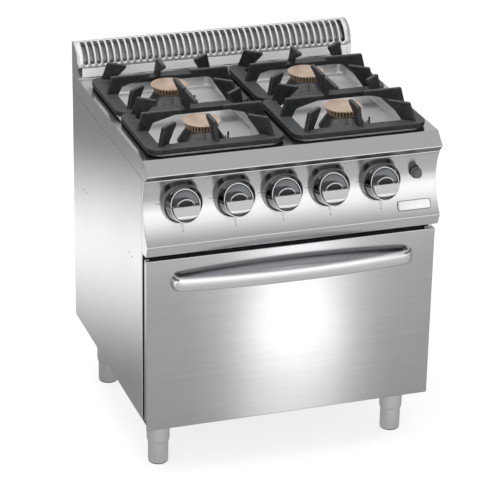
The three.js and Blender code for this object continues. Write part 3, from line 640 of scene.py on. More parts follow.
def make_world():
    """White to the camera and even to matt surfaces.

    In reflections it is brighter in front and dark at the sides.
    """
    world = bpy.data.worlds.new("studio")
    bpy.context.scene.world = world
    world.use_nodes = True
    tree = world.node_tree
    tree.nodes.clear()
    join = tree.links.new
    direction = tree.nodes.new("ShaderNodeTexCoord")
    split = tree.nodes.new("ShaderNodeSeparateXYZ")
    join(direction.outputs["Generated"], split.inputs["Vector"])

    def spread(value, start, end):
        node = tree.nodes.new("ShaderNodeMapRange")
        node.interpolation_type = "SMOOTHSTEP"
        node.inputs["From Min"].default_value = start
        node.inputs["From Max"].default_value = end
        join(value, node.inputs["Value"])
        return node.outputs["Result"]

    def mixed(share, first, second):
        node = tree.nodes.new("ShaderNodeMix")
        node.data_type = "RGBA"
        join(share, node.inputs["Factor"])
        join(first, node.inputs["A"])
        join(second, node.inputs["B"])
        return node.outputs["Result"]

    skies = []
    for stops in (FRONT_SKY, REAR_SKY, SIDE_SKY):
        ramp = colour_ramp(tree, stops)
        join(split.outputs["Z"], ramp.inputs["Fac"])
        skies.append(ramp.outputs["Color"])
    sideways = tree.nodes.new("ShaderNodeMath")
    sideways.operation = "ABSOLUTE"
    join(split.outputs["X"], sideways.inputs[0])
    sky = mixed(spread(split.outputs["Y"], -0.1, 0.1), skies[0], skies[1])
    sky = mixed(spread(sideways.outputs["Value"], 0.5, 0.68), sky, skies[2])
    shaded = tree.nodes.new("ShaderNodeBackground")
    join(sky, shaded.inputs["Color"])
    even = tree.nodes.new("ShaderNodeBackground")
    even.inputs["Strength"].default_value = 0.8
    plain = tree.nodes.new("ShaderNodeBackground")
    for white in (even, plain):
        white.inputs["Color"].default_value = (1, 1, 1, 1)
    rays = tree.nodes.new("ShaderNodeLightPath")
    matt = tree.nodes.new("ShaderNodeMixShader")
    join(rays.outputs["Is Glossy Ray"], matt.inputs["Fac"])
    join(even.outputs["Background"], matt.inputs[1])
    join(shaded.outputs["Background"], matt.inputs[2])
    seen = tree.nodes.new("ShaderNodeMixShader")
    join(rays.outputs["Is Camera Ray"], seen.inputs["Fac"])
    join(matt.outputs["Shader"], seen.inputs[1])
    join(plain.outputs["Background"], seen.inputs[2])
    output = tree.nodes.new("ShaderNodeOutputWorld")
    join(seen.outputs["Shader"], output.inputs["Surface"])


def make_studio():
    make_camera()
    make_floor()
    make_reflection_card()
    make_world()
    aim = (0, 0, 0.6)
    area_light("top_soft", (-0.4, -0.4, 3.2), aim, (2.4, 2.0), 60, glossy=False)
    area_light("front_left_soft", (-2.8, -2.6, 2.2), aim, (1.6, 2.2), 25, glossy=False)
    bpy.context.scene.view_settings.view_transform = "Standard"


DOOR_LIGHT_NEAR, DOOR_LIGHT_FAR = Vector((0.034, -0.42, 0.01)), Vector((0.618, -1.95, 0.01))
DOOR_LIGHT_WIDTH = 0.56
DOOR_LIGHT_RISE = ((0.0, 0.0), (0.13, 0.14), (0.23, 0.40), (0.28, 0.65), (0.353, 0.85), (0.45, 1.0))
DOOR_LIGHT_TONES = DOOR_LIGHT_RISE + tuple((1 - place, tone) for place, tone in DOOR_LIGHT_RISE[::-1])
DOOR_LIGHT_POWER = 6.2
DOOR_LIGHT_LENGTH_TONES = (
    (0.0, 0.55), (0.2, 0.75), (0.5, 1.0), (0.6, 1.0), (0.7, 0.74), (0.8, 0.52), (1.0, 0.35))


def make_door_light(door_skin):
    """A long lamp lying in front of the range, soft along its edges, which only the door mirrors."""
    centre = (DOOR_LIGHT_NEAR + DOOR_LIGHT_FAR) / 2
    along = DOOR_LIGHT_FAR - DOOR_LIGHT_NEAR
    size = (DOOR_LIGHT_WIDTH, along.length)
    lamp = area_light("door_light", centre, centre + Vector((0, 0, 1)), size, DOOR_LIGHT_POWER)
    lamp.rotation_mode = "XYZ"
    lamp.rotation_euler = (math.pi, 0, math.atan2(-along.x, along.y))
    lamp.data.use_nodes = True
    tree = lamp.data.node_tree
    geometry = tree.nodes.new("ShaderNodeNewGeometry")
    split = tree.nodes.new("ShaderNodeSeparateXYZ")
    tree.links.new(geometry.outputs["Parametric"], split.inputs["Vector"])
    ramp = colour_ramp(tree, DOOR_LIGHT_TONES)
    tree.links.new(split.outputs["X"], ramp.inputs["Fac"])
    fade = colour_ramp(tree, DOOR_LIGHT_LENGTH_TONES)
    tree.links.new(split.outputs["Y"], fade.inputs["Fac"])
    product = tree.nodes.new("ShaderNodeMath")
    product.operation = "MULTIPLY"
    tree.links.new(ramp.outputs["Color"], product.inputs[0])
    tree.links.new(fade.outputs["Color"], product.inputs[1])
    tree.links.new(product.outputs["Value"], tree.nodes["Emission"].inputs["Strength"])
    only_door = bpy.data.collections.new("mirrors_the_door_light")
    only_door.objects.link(door_skin)
    lamp.light_linking.receiver_collection = only_door


# ---------------------------------------------------------------- casing

def side_panel(name, side):
    fold = 20 * MM
    front, back = SIDE_LOW.y, SIDE_HIGH.y
    line = fillet([(HALF - fold, front), (HALF, front), (HALF, back)], 2.5 * MM)
    outline = thicken(line, SHEET)
    if side < 0:
        outline = [Vector((-p.x, p.y)) for p in outline]
    panel = piece(name + "_sheet", prism(outline, "z", SIDE_LOW.z, SIDE_HIGH.z), STEEL_Y, "cabinet",
                  [name])
    slots = []
    for row in (-195.5 * MM, 257.5 * MM):
        for shift in (-14.5 * MM, 14.5 * MM):
            hole = rounded_rect((row + shift, 596.5 * MM), 9 * MM, 3.4 * MM, 1.6 * MM, 4)
            slots.append(prism(hole, "x", side * (HALF - 10 * MM), side * (HALF + 10 * MM)))
    keep_flat(cut(panel, *slots))


def carry_over(material, *names):
    """CAD nodes whose shape is right keep it, with small rounded edges and a finished material."""
    for name in names:
        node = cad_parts[name]
        node.data.materials.clear()
        node.data.materials.append(material)
        round_edges(node, 0.5 * MM, 2)
        node.data.shade_smooth()
        node.data.set_sharp_from_angle(angle=math.radians(35))


def screw_head(radius, height):
    """A domed screw head with a hexagon socket, its base at z 0."""
    socket = radius * 0.5
    outline = [(0, height * 0.35), (socket, height * 0.35), (socket, height * 0.92), (socket * 1.15, height)]
    outline += [(radius * 0.75, height * 0.93), (radius * 0.96, height * 0.55), (radius, height * 0.2)]
    outline += [(radius, 0), (0, 0)]

    def hexagon(index, i):
        if index not in (1, 2, 3):
            return 0
        turn = (i / 36 * math.tau) % (math.pi / 3) - math.pi / 6
        return socket * (math.cos(math.pi / 6) / math.cos(turn) - 1)

    return lathe(outline, 36, hexagon)


# ---------------------------------------------------------------- worktop

NOSE = Vector((WORKTOP_LOW.y, DECK_Z - 33 * MM))
LIP_FOOT = Vector((WORKTOP_LOW.y + 17 * MM, WORKTOP_LOW.z))
LIP_TOP = Vector((WORKTOP_LOW.y + 35 * MM, DECK_Z))


def worktop():
    upstand_top = WORKTOP_HIGH.z
    line = [LIP_FOOT, NOSE, LIP_TOP, (UPSTAND_Y, DECK_Z), (UPSTAND_Y, upstand_top),
            (UPSTAND_Y + 12 * MM, upstand_top)]
    outline = thicken(fillet(line, [2.5 * MM, 5 * MM, 5 * MM, 1.5 * MM])[::-1], SHEET)
    inside = HALF - SHEET
    top = piece("worktop_sheet", prism(outline, "x", -inside, inside), STEEL_X, "cabinet",
                ["worktop"])
    cutters = []
    for side in ("left", "right"):
        low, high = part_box(f"{side}_spill_well")
        centre = ((low.x + high.x) / 2, (low.y + high.y) / 2)
        hole = rounded_rect(centre, high.x - low.x - 27 * MM, high.y - low.y - 27 * MM, 34 * MM)
        cutters.append(prism(hole, "z", DECK_Z - 10 * MM, DECK_Z + 10 * MM))
    keep_flat(cut(top, *cutters))
    top.data.materials.append(STEEL_PAINTED_LIGHT)
    top.data.materials.append(STEEL_SHADED)
    for face in top.data.polygons:
        # Painted light: the upstand faces get the nearly white steel.
        if face.center.y > UPSTAND_Y - 1 * MM and face.center.z > DECK_Z + 5 * MM:
            face.material_index = 1
        # Painted shade: the underside of the lip gets the darker steel.
        elif face.center.y < LIP_FOOT.x and face.center.z < NOSE.y - 2 * MM:
            face.material_index = 2
    skirt = [LIP_FOOT, Vector((REAR, WORKTOP_LOW.z)), Vector((REAR, DECK_Z)), LIP_TOP, NOSE]
    for side, label in ((-1, "left"), (1, "right")):
        plate = prism(skirt, "x", side * inside, side * HALF)
        piece(f"worktop_skirt_{label}", plate, STEEL_Y, "cabinet", bevel=0.6 * MM)
        head = screw_head(4 * MM, 1.2 * MM)
        turn = Matrix.Rotation(side * math.pi / 2, 4, "Y")
        spot = Matrix.Translation((side * HALF, -311 * MM, 884 * MM))
        inset = Matrix.Translation((-side * 0.9 * MM, 0, 0))
        piece(f"skirt_screw_{label}", moved(head, inset @ spot @ turn), STEEL_DARK, "cabinet")


def spill_well(label):
    """A pressed well: a flange, a rounded lip, sloping walls with large fillets, and a nearly flat floor."""
    node = f"{label}_spill_well"
    low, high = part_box(node)
    centre = ((low.x + high.x) / 2, (low.y + high.y) / 2)
    width, depth = high.x - low.x, high.y - low.y
    floor_z = low.z + SHEET
    section = fillet([(0, high.z), (15 * MM, high.z), (19 * MM, floor_z), (150 * MM, floor_z - 0.7 * MM)],
                     [3 * MM, 12 * MM], 7)
    bm = bmesh.new()
    rings = []
    for inset, z in section:
        corner = max(36 * MM - inset * 0.4, 6 * MM)
        outline = rounded_rect(centre, width - 2 * inset, depth - 2 * inset, corner, 10)
        rings.append([bm.verts.new((p.x, p.y, z)) for p in outline])
    for outer, inner in zip(rings, rings[1:]):
        for i in range(len(outer)):
            j = (i + 1) % len(outer)
            bm.faces.new((outer[i], outer[j], inner[j], inner[i]))
    bm.faces.new(rings[-1])
    bmesh.ops.recalc_face_normals(bm, faces=bm.faces)
    well = piece(node + "_pressing", bm, STEEL_WELL_LIT, "cabinet", [node], crease=50)
    if well.data.polygons[0].normal.z < 0:
        well.data.flip_normals()
    skin = well.modifiers.new("skin", "SOLIDIFY")
    skin.thickness = 1.2 * MM
    skin.offset = -1


# ---------------------------------------------------------------- flue grille

FLUE_FOOT_Z = 930.3 * MM
FLUE_SLOTS = 42
FLUE_PITCH = 18.3 * MM


def flue_arc_table(steps=200):
    """Arc length against angle along the grille's elliptical front."""
    across, up = REAR - UPSTAND_Y, FLUE_HIGH.z - FLUE_FOOT_Z
    points = []
    length = 0
    last = None
    for i in range(steps + 1):
        turn = i / steps * math.pi / 2
        point = Vector((REAR - across * math.cos(turn), FLUE_FOOT_Z + up * math.sin(turn)))
        if last is not None:
            length += (point - last).length
        points.append((length, point))
        last = point
    return points


FLUE_TABLE = flue_arc_table()
FLUE_LENGTH = FLUE_TABLE[-1][0]


def on_flue(length):
    length = min(max(length, 0), FLUE_LENGTH)
    for (before, low), (after, high) in zip(FLUE_TABLE, FLUE_TABLE[1:]):
        if length <= after:
            share = (length - before) / (after - before)
            return low.lerp(high, share)
    return FLUE_TABLE[-1][1]


def flue_grille():
    """The curved sheet between its end plates, pierced by tall slots with round ends."""
    half_slot = 6.5 * MM
    foot, head = 9.5 * MM, FLUE_LENGTH - 9 * MM
    rounds, straights = 8, 14
    bm = bmesh.new()
    cache = {}

    def vert(x, length):
        key = (round(x, 7), round(length, 7))
        if key not in cache:
            y, z = on_flue(length)
            cache[key] = bm.verts.new((x, y, z))
        return cache[key]

    def strip(first, second):
        for i in range(len(first) - 1):
            corners = []
            for v in (first[i], first[i + 1], second[i + 1], second[i]):
                if v not in corners:
                    corners.append(v)
            if len(corners) > 2:
                bm.faces.new(corners)

    levels = [foot + half_slot + (head - foot - 2 * half_slot) * i / straights for i in range(straights + 1)]
    edges = []
    for index in range(FLUE_SLOTS):
        x = (index - (FLUE_SLOTS - 1) / 2) * FLUE_PITCH
        left, right = x - FLUE_PITCH / 2, x + FLUE_PITCH / 2
        bottom, top = [], []
        for k in range(rounds + 1):
            turn = math.pi * k / rounds
            shift = -half_slot * math.cos(turn)
            bottom.append((x + shift, levels[0] - half_slot * math.sin(turn)))
            top.append((x + shift, levels[-1] + half_slot * math.sin(turn)))
        strip([vert(*p) for p in bottom], [vert(px, 0) for px, _ in bottom])
        strip([vert(*p) for p in top], [vert(px, FLUE_LENGTH) for px, _ in top])
        for near, far in ((x - half_slot, left), (x + half_slot, right)):
            rows = [0] + levels + [FLUE_LENGTH]
            strip([vert(near, s) for s in rows], [vert(far, s) for s in rows])
        edges += [left, right]
    inside = HALF - SHEET
    rows = [0] + levels + [FLUE_LENGTH]
    for outer, inner in ((-inside, min(edges)), (max(edges), inside)):
        strip([vert(outer, s) for s in rows], [vert(inner, s) for s in rows])
    bmesh.ops.remove_doubles(bm, verts=bm.verts, dist=1e-6)
    bmesh.ops.recalc_face_normals(bm, faces=bm.faces)
    grille = piece("flue_grille_sheet", bm, STEEL_GRILLE, "cabinet", ["flue_grille"], crease=60)
    if grille.data.polygons[0].normal.y > 0:
        grille.data.flip_normals()
    skin = grille.modifiers.new("skin", "SOLIDIFY")
    skin.thickness = SHEET
    skin.offset = -1
    baffle_set = 12 * MM
    line = [p for _, p in FLUE_TABLE[40::8]]
    inner = [p + (Vector((REAR, FLUE_FOOT_Z)) - p).normalized() * baffle_set for p in line]
    inner = [inner[0] + Vector((-4 * MM, -1 * MM))] + inner
    baffle = prism(thicken(inner[::-1], SHEET), "x", -inside, inside)
    # The baffle behind the grille gets the darker, painted-shade steel.
    piece("flue_baffle", baffle, STEEL_SHADED, "cabinet", crease=60)
    outline = [p for _, p in FLUE_TABLE[::8]] + [Vector((REAR, FLUE_LOW.z)), Vector((UPSTAND_Y, FLUE_LOW.z))]
    for side, label in ((-1, "left"), (1, "right")):
        plate = prism(outline, "x", side * inside, side * HALF)
        piece(f"flue_end_{label}", plate, STEEL_Z, "cabinet", crease=30)
        post = block((side * (HALF - 13 * MM), UPSTAND_Y - 0.2 * MM, DECK_Z + 0.4 * MM),
                     (side * inside, UPSTAND_Y + 1.2 * MM, FLUE_FOOT_Z + 3 * MM))
        bmesh.ops.recalc_face_normals(post, faces=post.faces)
        piece(f"flue_post_{label}", post, STEEL_Z, "cabinet", bevel=0.4 * MM)


# ---------------------------------------------------------------- control panel

PANEL_FOLD = Vector((PANEL_LOW.y, 678 * MM))
PANEL_DEEP = Vector((-312 * MM, 765 * MM))
PANEL_TOP = Vector((-330 * MM, PANEL_HIGH.z))
PANEL_FOOT = Vector((-339 * MM, PANEL_LOW.z))
KNOB_Z = middle("knob_1").z
COLLAR_FRONT = -331 * MM
COLLAR_OUTER, COLLAR_INNER = 51.5 * MM, 49.3 * MM


def circle_through(a, b, c):
    d = 2 * (a.x * (b.y - c.y) + b.x * (c.y - a.y) + c.x * (a.y - b.y))
    sa, sb, sc = a.length_squared, b.length_squared, c.length_squared
    x = (sa * (b.y - c.y) + sb * (c.y - a.y) + sc * (a.y - b.y)) / d
    y = (sa * (c.x - b.x) + sb * (a.x - c.x) + sc * (b.x - a.x)) / d
    centre = Vector((x, y))
    return centre, (a - centre).length


PANEL_CENTRE, PANEL_RADIUS = circle_through(PANEL_FOLD, PANEL_DEEP, PANEL_TOP)


def on_panel(z, proud=0.0):
    """The (y, z) point of the concave face at that height, standing proud of it by that much."""
    turn = math.asin((z - PANEL_CENTRE.y) / PANEL_RADIUS)
    radius = PANEL_RADIUS - proud
    return Vector((PANEL_CENTRE.x + radius * math.cos(turn), PANEL_CENTRE.y + radius * math.sin(turn)))


def panel_line():
    start = math.atan2(PANEL_FOLD.y - PANEL_CENTRE.y, PANEL_FOLD.x - PANEL_CENTRE.x)
    end = math.atan2(PANEL_TOP.y - PANEL_CENTRE.y, PANEL_TOP.x - PANEL_CENTRE.x)
    face = arc(PANEL_CENTRE, PANEL_RADIUS, start, end, 56)
    back = PANEL_HIGH.y
    lower = fillet([(back, PANEL_FOOT.y), PANEL_FOOT, face[0], face[2]], [2 * MM, 2.2 * MM])
    upper = fillet([face[-3], face[-1], (PANEL_TOP.x + 14 * MM, PANEL_TOP.y)], 2 * MM)
    return lower[:-1] + face[2:-3] + upper


def drill(radius):
    return lathe([(0, 0.30), (radius, 0.30), (radius, 0.36), (0, 0.36)], 72)


def control_panel():
    line = panel_line()
    inside = HALF - SHEET
    skin = piece("control_panel_sheet", prism(thicken(line[::-1], SHEET), "x", -inside, inside), STEEL_X,
                 "cabinet", ["control_panel"])
    cutters = []
    for index in KNOBS:
        x = middle(f"knob_{index}").x
        cutters.append(facing_front(drill(50.4 * MM), x, KNOB_Z))
    spot = middle("igniter_button")
    cutters.append(facing_front(drill(14 * MM), spot.x, spot.z))
    keep_flat(cut(skin, *cutters))
    skin.data.set_sharp_from_angle(angle=math.radians(35))
    back = PANEL_HIGH.y
    end = line[:-1] + [Vector((back, PANEL_TOP.y))]
    for side, label in ((-1, "left"), (1, "right")):
        plate = prism(end, "x", side * inside, side * HALF)
        piece(f"panel_end_{label}", plate, STEEL_Z, "cabinet", crease=30, bevel=0.4 * MM)


def knob_collar(index):
    """The plated cup in the panel in which the knob sits."""
    x = middle(f"knob_{index}").x
    front, floor, back = -COLLAR_FRONT, 318 * MM, 309 * MM
    outer, inner = COLLAR_OUTER, COLLAR_INNER
    outline = [(7 * MM, floor - SHEET), (inner, floor - SHEET), (inner, back), (outer, back),
               (outer, front - 1 * MM), (outer - 1 * MM, front), (inner + 0.4 * MM, front),
               (inner, front - 0.5 * MM), (inner, floor), (7 * MM, floor)]
    collar = facing_front(lathe(outline, 96), x, KNOB_Z)
    # The collar's near-black plating is painted shade round the knob.
    piece(f"knob_collar_{index}", collar, COLLAR_SHADE_AND_DARK_RIM, "cabinet")


KNOB_RIM = Vector((39.6 * MM, 41.5 * MM))
KNOB_RIM_RISE = 3 * MM
KNOB_SLANT = 0.354
KNOB_DISH = 6 * MM
KNOB_SKIRT_BANDS = 10


def knob(index):
    """A plated knob: a slanted wide skirt, a ring round its dished face, and a satin grip below."""
    node = f"knob_{index}"
    low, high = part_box(node)
    x = (low.x + high.x) / 2
    base = (high.x - low.x) / 2 - 0.1 * MM
    back, front = -high.y, -low.y
    sides = 120

    def slant(v):
        """The height of the slanted face's plane at a height v above the knob's centre."""
        return front - 0.4 * MM - KNOB_SLANT * (v + KNOB_RIM.y - KNOB_RIM_RISE)

    def on_rim(turn, share):
        return (KNOB_RIM.x * share * math.cos(turn), KNOB_RIM_RISE + KNOB_RIM.y * share * math.sin(turn))

    bm = bmesh.new()
    loops = []

    def loop(point):
        loops.append([bm.verts.new(point(i / sides * math.tau)) for i in range(sides)])

    def round_loop(radius, height):
        loop(lambda turn: (radius * math.cos(turn), radius * math.sin(turn), height))

    def rim_loop(share, drop):
        def point(turn):
            u, v = on_rim(turn, share)
            return (u, v, slant(v) - drop)
        loop(point)

    round_loop(12 * MM, back)
    round_loop(base, back)
    skirt = back + 5 * MM
    for k in range(8):
        share = k / 8

        def between(turn):
            u, v = on_rim(turn, 1)
            swell = share ** 0.85
            return (base * math.cos(turn) * (1 - swell) + u * swell,
                    base * math.sin(turn) * (1 - swell) + v * swell,
                    skirt * (1 - share) + slant(v) * share)
        loop(between)
    for share, drop in ((1, 0), (0.94, 0), (0.925, 3.5 * MM), (0.90, 3.5 * MM), (0.885, 0.8 * MM)):
        rim_loop(share, drop)
    for k in range(1, 16):
        share = 0.885 * (1 - k / 16)
        rim_loop(share, 0.8 * MM + KNOB_DISH * (1 - (share / 0.885) ** 2))
    for lower, upper in zip(loops, loops[1:]):
        for i in range(sides):
            j = (i + 1) % sides
            bm.faces.new((lower[i], lower[j], upper[j], upper[i]))
    bm.faces.new(loops[0])
    bm.faces.new(loops[-1])
    bmesh.ops.recalc_face_normals(bm, faces=bm.faces)
    shell = piece(node + "_shell", facing_front(bm, x, KNOB_Z), CHROME, node, [node])
    shell.data.materials.append(CHROME_SKIRT_SHADED)
    shell.data.materials.append(CHROME_DISH_SHADED)
    # Painted shade: the skirt bands and the dish bands get the darker copies of the chrome.
    for index_of, face in enumerate(shell.data.polygons):
        band = index_of // sides
        if band < KNOB_SKIRT_BANDS:
            face.material_index = 1
        elif band > KNOB_SKIRT_BANDS:
            face.material_index = 2
    round_edges(shell, 0.4 * MM)

    chord, foot, toe = 6.5 * MM, -19 * MM, -30 * MM
    top, root, toe_top = front - 2 * MM, front - 22 * MM, front - 6.5 * MM
    grip = bmesh.new()
    rings = []
    rows = [(chord + (foot - chord) * k / 10, top) for k in range(11)]
    rows += [(foot + (toe - foot) * k / 3, top + (toe_top - top) * k / 3) for k in range(1, 4)]
    for v, height in rows:
        half = 0.90 * KNOB_RIM.x * math.sqrt(1 - ((v - KNOB_RIM_RISE) / (0.90 * KNOB_RIM.y)) ** 2)
        corners = ((-half, root), (half, root), (half, height), (-half, height))
        rings.append([grip.verts.new((u, v, w)) for u, w in corners])
    for lower, upper in zip(rings, rings[1:]):
        for i in range(4):
            j = (i + 1) % 4
            grip.faces.new((lower[i], lower[j], upper[j], upper[i]))
    grip.faces.new(rings[0])
    grip.faces.new(rings[-1])
    bmesh.ops.recalc_face_normals(grip, faces=grip.faces)
    handgrip = piece(f"knob_grip_{index}", facing_front(grip, x, KNOB_Z), STEEL_GRIP, node,
                     bevel=0.9 * MM)
    handgrip.data.materials.append(STEEL_PAINTED_LIGHT)
    # Painted highlight: the grip's down-facing toe faces get the nearly white steel.
    for face in handgrip.data.polygons:
        if face.normal.y < -0.3 and face.normal.z < -0.3:
            face.material_index = 1

    def lens(half_width, height):
        """An arch that stands on the grip's upper edge."""
        radius = (half_width ** 2 + height ** 2) / (2 * height)
        turn = math.asin(half_width / radius)
        return arc((0, chord + height - radius), radius, math.pi / 2 - turn, math.pi / 2 + turn, 20)

    brow = lens(24.5 * MM, 16.5 * MM) + lens(21 * MM, 13 * MM)[::-1]
    scoop = lens(21.2 * MM, 13.2 * MM)
    # The scoop inset is near-black, as painted shade for its recess.
    for label, outline, height, material in (("brow", brow, front - 13 * MM, CHROME),
                                             ("scoop", scoop, front - 16 * MM, KNOB_SCOOP_SHADE)):
        inset = facing_front(prism(outline, "z", front - 28 * MM, height), x, KNOB_Z)
        piece(f"knob_{label}_{index}", inset, material, node, bevel=0.35 * MM)

    ends = []
    for share, lift in ((0.12, 0.3 * MM), (0.92, 0.3 * MM), (0.92, -0.8 * MM), (0.12, -0.8 * MM)):
        swell = share ** 0.85
        reach = base * (1 - swell) + KNOB_RIM.x * swell + lift
        ends.append(Vector((x - reach, -(skirt * (1 - share) + slant(0) * share))))
    pointer = prism(ends, "z", KNOB_Z - 0.9 * MM, KNOB_Z + 0.9 * MM)
    piece(f"knob_pointer_{index}", pointer, INK, node)


def on_panel_patch(points, thickness=0.25 * MM):
    """A thin marking laid on the concave face from an outline of (x, z) points."""
    bm = bmesh.new()
    layers = []
    for proud in (0.05 * MM, 0.05 * MM + thickness):
        layer = []
        for x, z in points:
            y, level = on_panel(z, proud)
            layer.append(bm.verts.new((x, y, level)))
        layers.append(layer)
    count = len(points)
    for i in range(count):
        j = (i + 1) % count
        bm.faces.new((layers[0][i], layers[0][j], layers[1][j], layers[1][i]))
    bm.faces.new(layers[0])
    bm.faces.new(layers[1])
    bmesh.ops.recalc_face_normals(bm, faces=bm.faces)
    return bm


def ring_patch(centre, radius, width, sides=28):
    parts = []
    for i in range(sides):
        a, b = i / sides * math.tau, (i + 1) / sides * math.tau
        quad = [(centre[0] + r * math.cos(t), centre[1] + r * math.sin(t))
                for r, t in ((radius, a), (radius, b), (radius - width, b), (radius - width, a))]
        parts.append(on_panel_patch(quad))
    return parts


def markings():
    """Generic marks: an index line left of each knob, and a plain dial sign below it."""
    for index in KNOBS:
        x = middle(f"knob_{index}").x
        left, right = x - 67 * MM, x - 52.5 * MM
        line = [(left, KNOB_Z - 0.7 * MM), (right, KNOB_Z - 0.7 * MM),
                (right, KNOB_Z + 0.7 * MM), (left, KNOB_Z + 0.7 * MM)]
        parts = [on_panel_patch(line)]
        parts += ring_patch((x, 719 * MM), 4.2 * MM, 0.8 * MM)
        bar = [(x - 2.4 * MM, 704 * MM), (x + 2.4 * MM, 704 * MM),
                (x + 2.4 * MM, 705 * MM), (x - 2.4 * MM, 705 * MM)]
        parts.append(on_panel_patch(bar))
        stalk = [(x - 0.4 * MM, 706 * MM), (x + 0.4 * MM, 706 * MM),
                (x + 0.4 * MM, 713 * MM), (x - 0.4 * MM, 713 * MM)]
        parts.append(on_panel_patch(stalk))
        piece(f"panel_mark_{index}", merge(*parts), INK, "cabinet")


def badge():
    """A blank white plate with a raised metal rim."""
    low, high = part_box("badge_plate")
    centre = (low + high) / 2
    width, height = high.x - low.x, 27 * MM
    slope = math.asin((centre.z - PANEL_CENTRE.y) / PANEL_RADIUS)
    plate = prism(rounded_rect((0, 0), width, height, 6 * MM), "z", 0, 1.4 * MM)
    rim_out = rounded_rect((0, 0), width, height, 6 * MM)
    rim_in = rounded_rect((0, 0), width - 3 * MM, height - 3 * MM, 4.5 * MM)
    bm = bmesh.new()
    loops = []
    for outline, z in ((rim_out, 1.2 * MM), (rim_out, 2.0 * MM), (rim_in, 2.0 * MM), (rim_in, 1.2 * MM)):
        loops.append([bm.verts.new((p.x, p.y, z)) for p in outline])
    count = len(rim_out)
    for lower, upper in zip(loops, loops[1:] + loops[:1]):
        for i in range(count):
            j = (i + 1) % count
            bm.faces.new((lower[i], lower[j], upper[j], upper[i]))
    bmesh.ops.recalc_face_normals(bm, faces=bm.faces)
    reach = PANEL_RADIUS * math.cos(math.asin(height / 2 / PANEL_RADIUS)) - 0.6 * MM
    turn = Matrix.Rotation(math.pi / 2, 4, "X") @ Matrix.Translation((0, 0, -reach))
    tilt = Matrix.Rotation(slope, 4, "X")
    spot = Matrix.Translation((centre.x, PANEL_CENTRE.x, PANEL_CENTRE.y))
    piece("badge_blank", moved(plate, spot @ tilt @ turn), BADGE_WHITE, "cabinet",
          ["badge_plate"], bevel=0.25 * MM, bevel_steps=2)
    piece("badge_rim", moved(bm, spot @ tilt @ turn), COLLAR_SHADE_AND_DARK_RIM, "cabinet", bevel=0.2 * MM)


def igniter():
    low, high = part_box("igniter_housing")
    spot = (low + high) / 2
    front, back = -low.y, -high.y
    flange = 316 * MM
    bore, barrel, collar = 11.8 * MM, 13.4 * MM, 15 * MM
    outline = fillet([(bore, back), (barrel, back), (barrel, flange), (collar, flange),
                      (collar, front - 2 * MM), (collar - 1.6 * MM, front), (bore, front), (bore, back)],
                     [0, 0, 0.4 * MM, 1 * MM, 0.8 * MM, 0.4 * MM], 4)
    piece("igniter_bezel",
          facing_front(lathe([tuple(p) for p in outline[:-1]], 64), spot.x, spot.z), GREY_PLASTIC,
          "cabinet", ["igniter_housing"])
    low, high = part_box("igniter_button")
    front, back = -low.y, -high.y
    radius = 11.4 * MM
    outline = fillet([(0, back), (radius, back), (radius, front), (radius - 3 * MM, front),
                      (radius - 4 * MM, front - 0.8 * MM), (0, front - 1.6 * MM)],
                     [0.4 * MM, 1.6 * MM, 0.3 * MM, 0.6 * MM], 4)
    piece("igniter_push_button",
          facing_front(lathe([tuple(p) for p in outline], 64), spot.x, spot.z), GREY_PLASTIC,
          "igniter_button", ["igniter_button"])


# ---------------------------------------------------------------- burners

def burner_body(name):
    """A cast body: a mixing tube below the well, a skirt on its floor, and a cone to the cap's seat."""
    node = f"burner_body_{name}"
    low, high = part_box(node)
    spot = (low + high) / 2
    seat, top = low.z + 64.8 * MM, high.z
    brim = seat + 6.2 * MM
    line = [(14 * MM, low.z), (20 * MM, low.z), (20 * MM, low.z + 43 * MM),
            (34 * MM, low.z + 55 * MM), (34 * MM, seat),
            (60 * MM, seat), (64 * MM, brim), (62 * MM, brim + 4 * MM),
            (44 * MM, top - 4 * MM), (42 * MM, top),
            (31 * MM, top), (31 * MM, top - 15 * MM), (14 * MM, top - 27 * MM), (14 * MM, low.z)]
    radii = [1 * MM, 6 * MM, 4 * MM, 0, 1 * MM, 2 * MM, 1.5 * MM, 3 * MM, 0.8 * MM, 0.6 * MM, 3 * MM, 2 * MM]
    outline = [tuple(p) for p in fillet(line, radii, 5)][:-1]
    bm = moved(lathe(outline, 96), Matrix.Translation((spot.x, spot.y, 0)))
    piece(f"burner_casting_{name}", bm, BURNER_IRON, "cabinet", [node], crease=50)


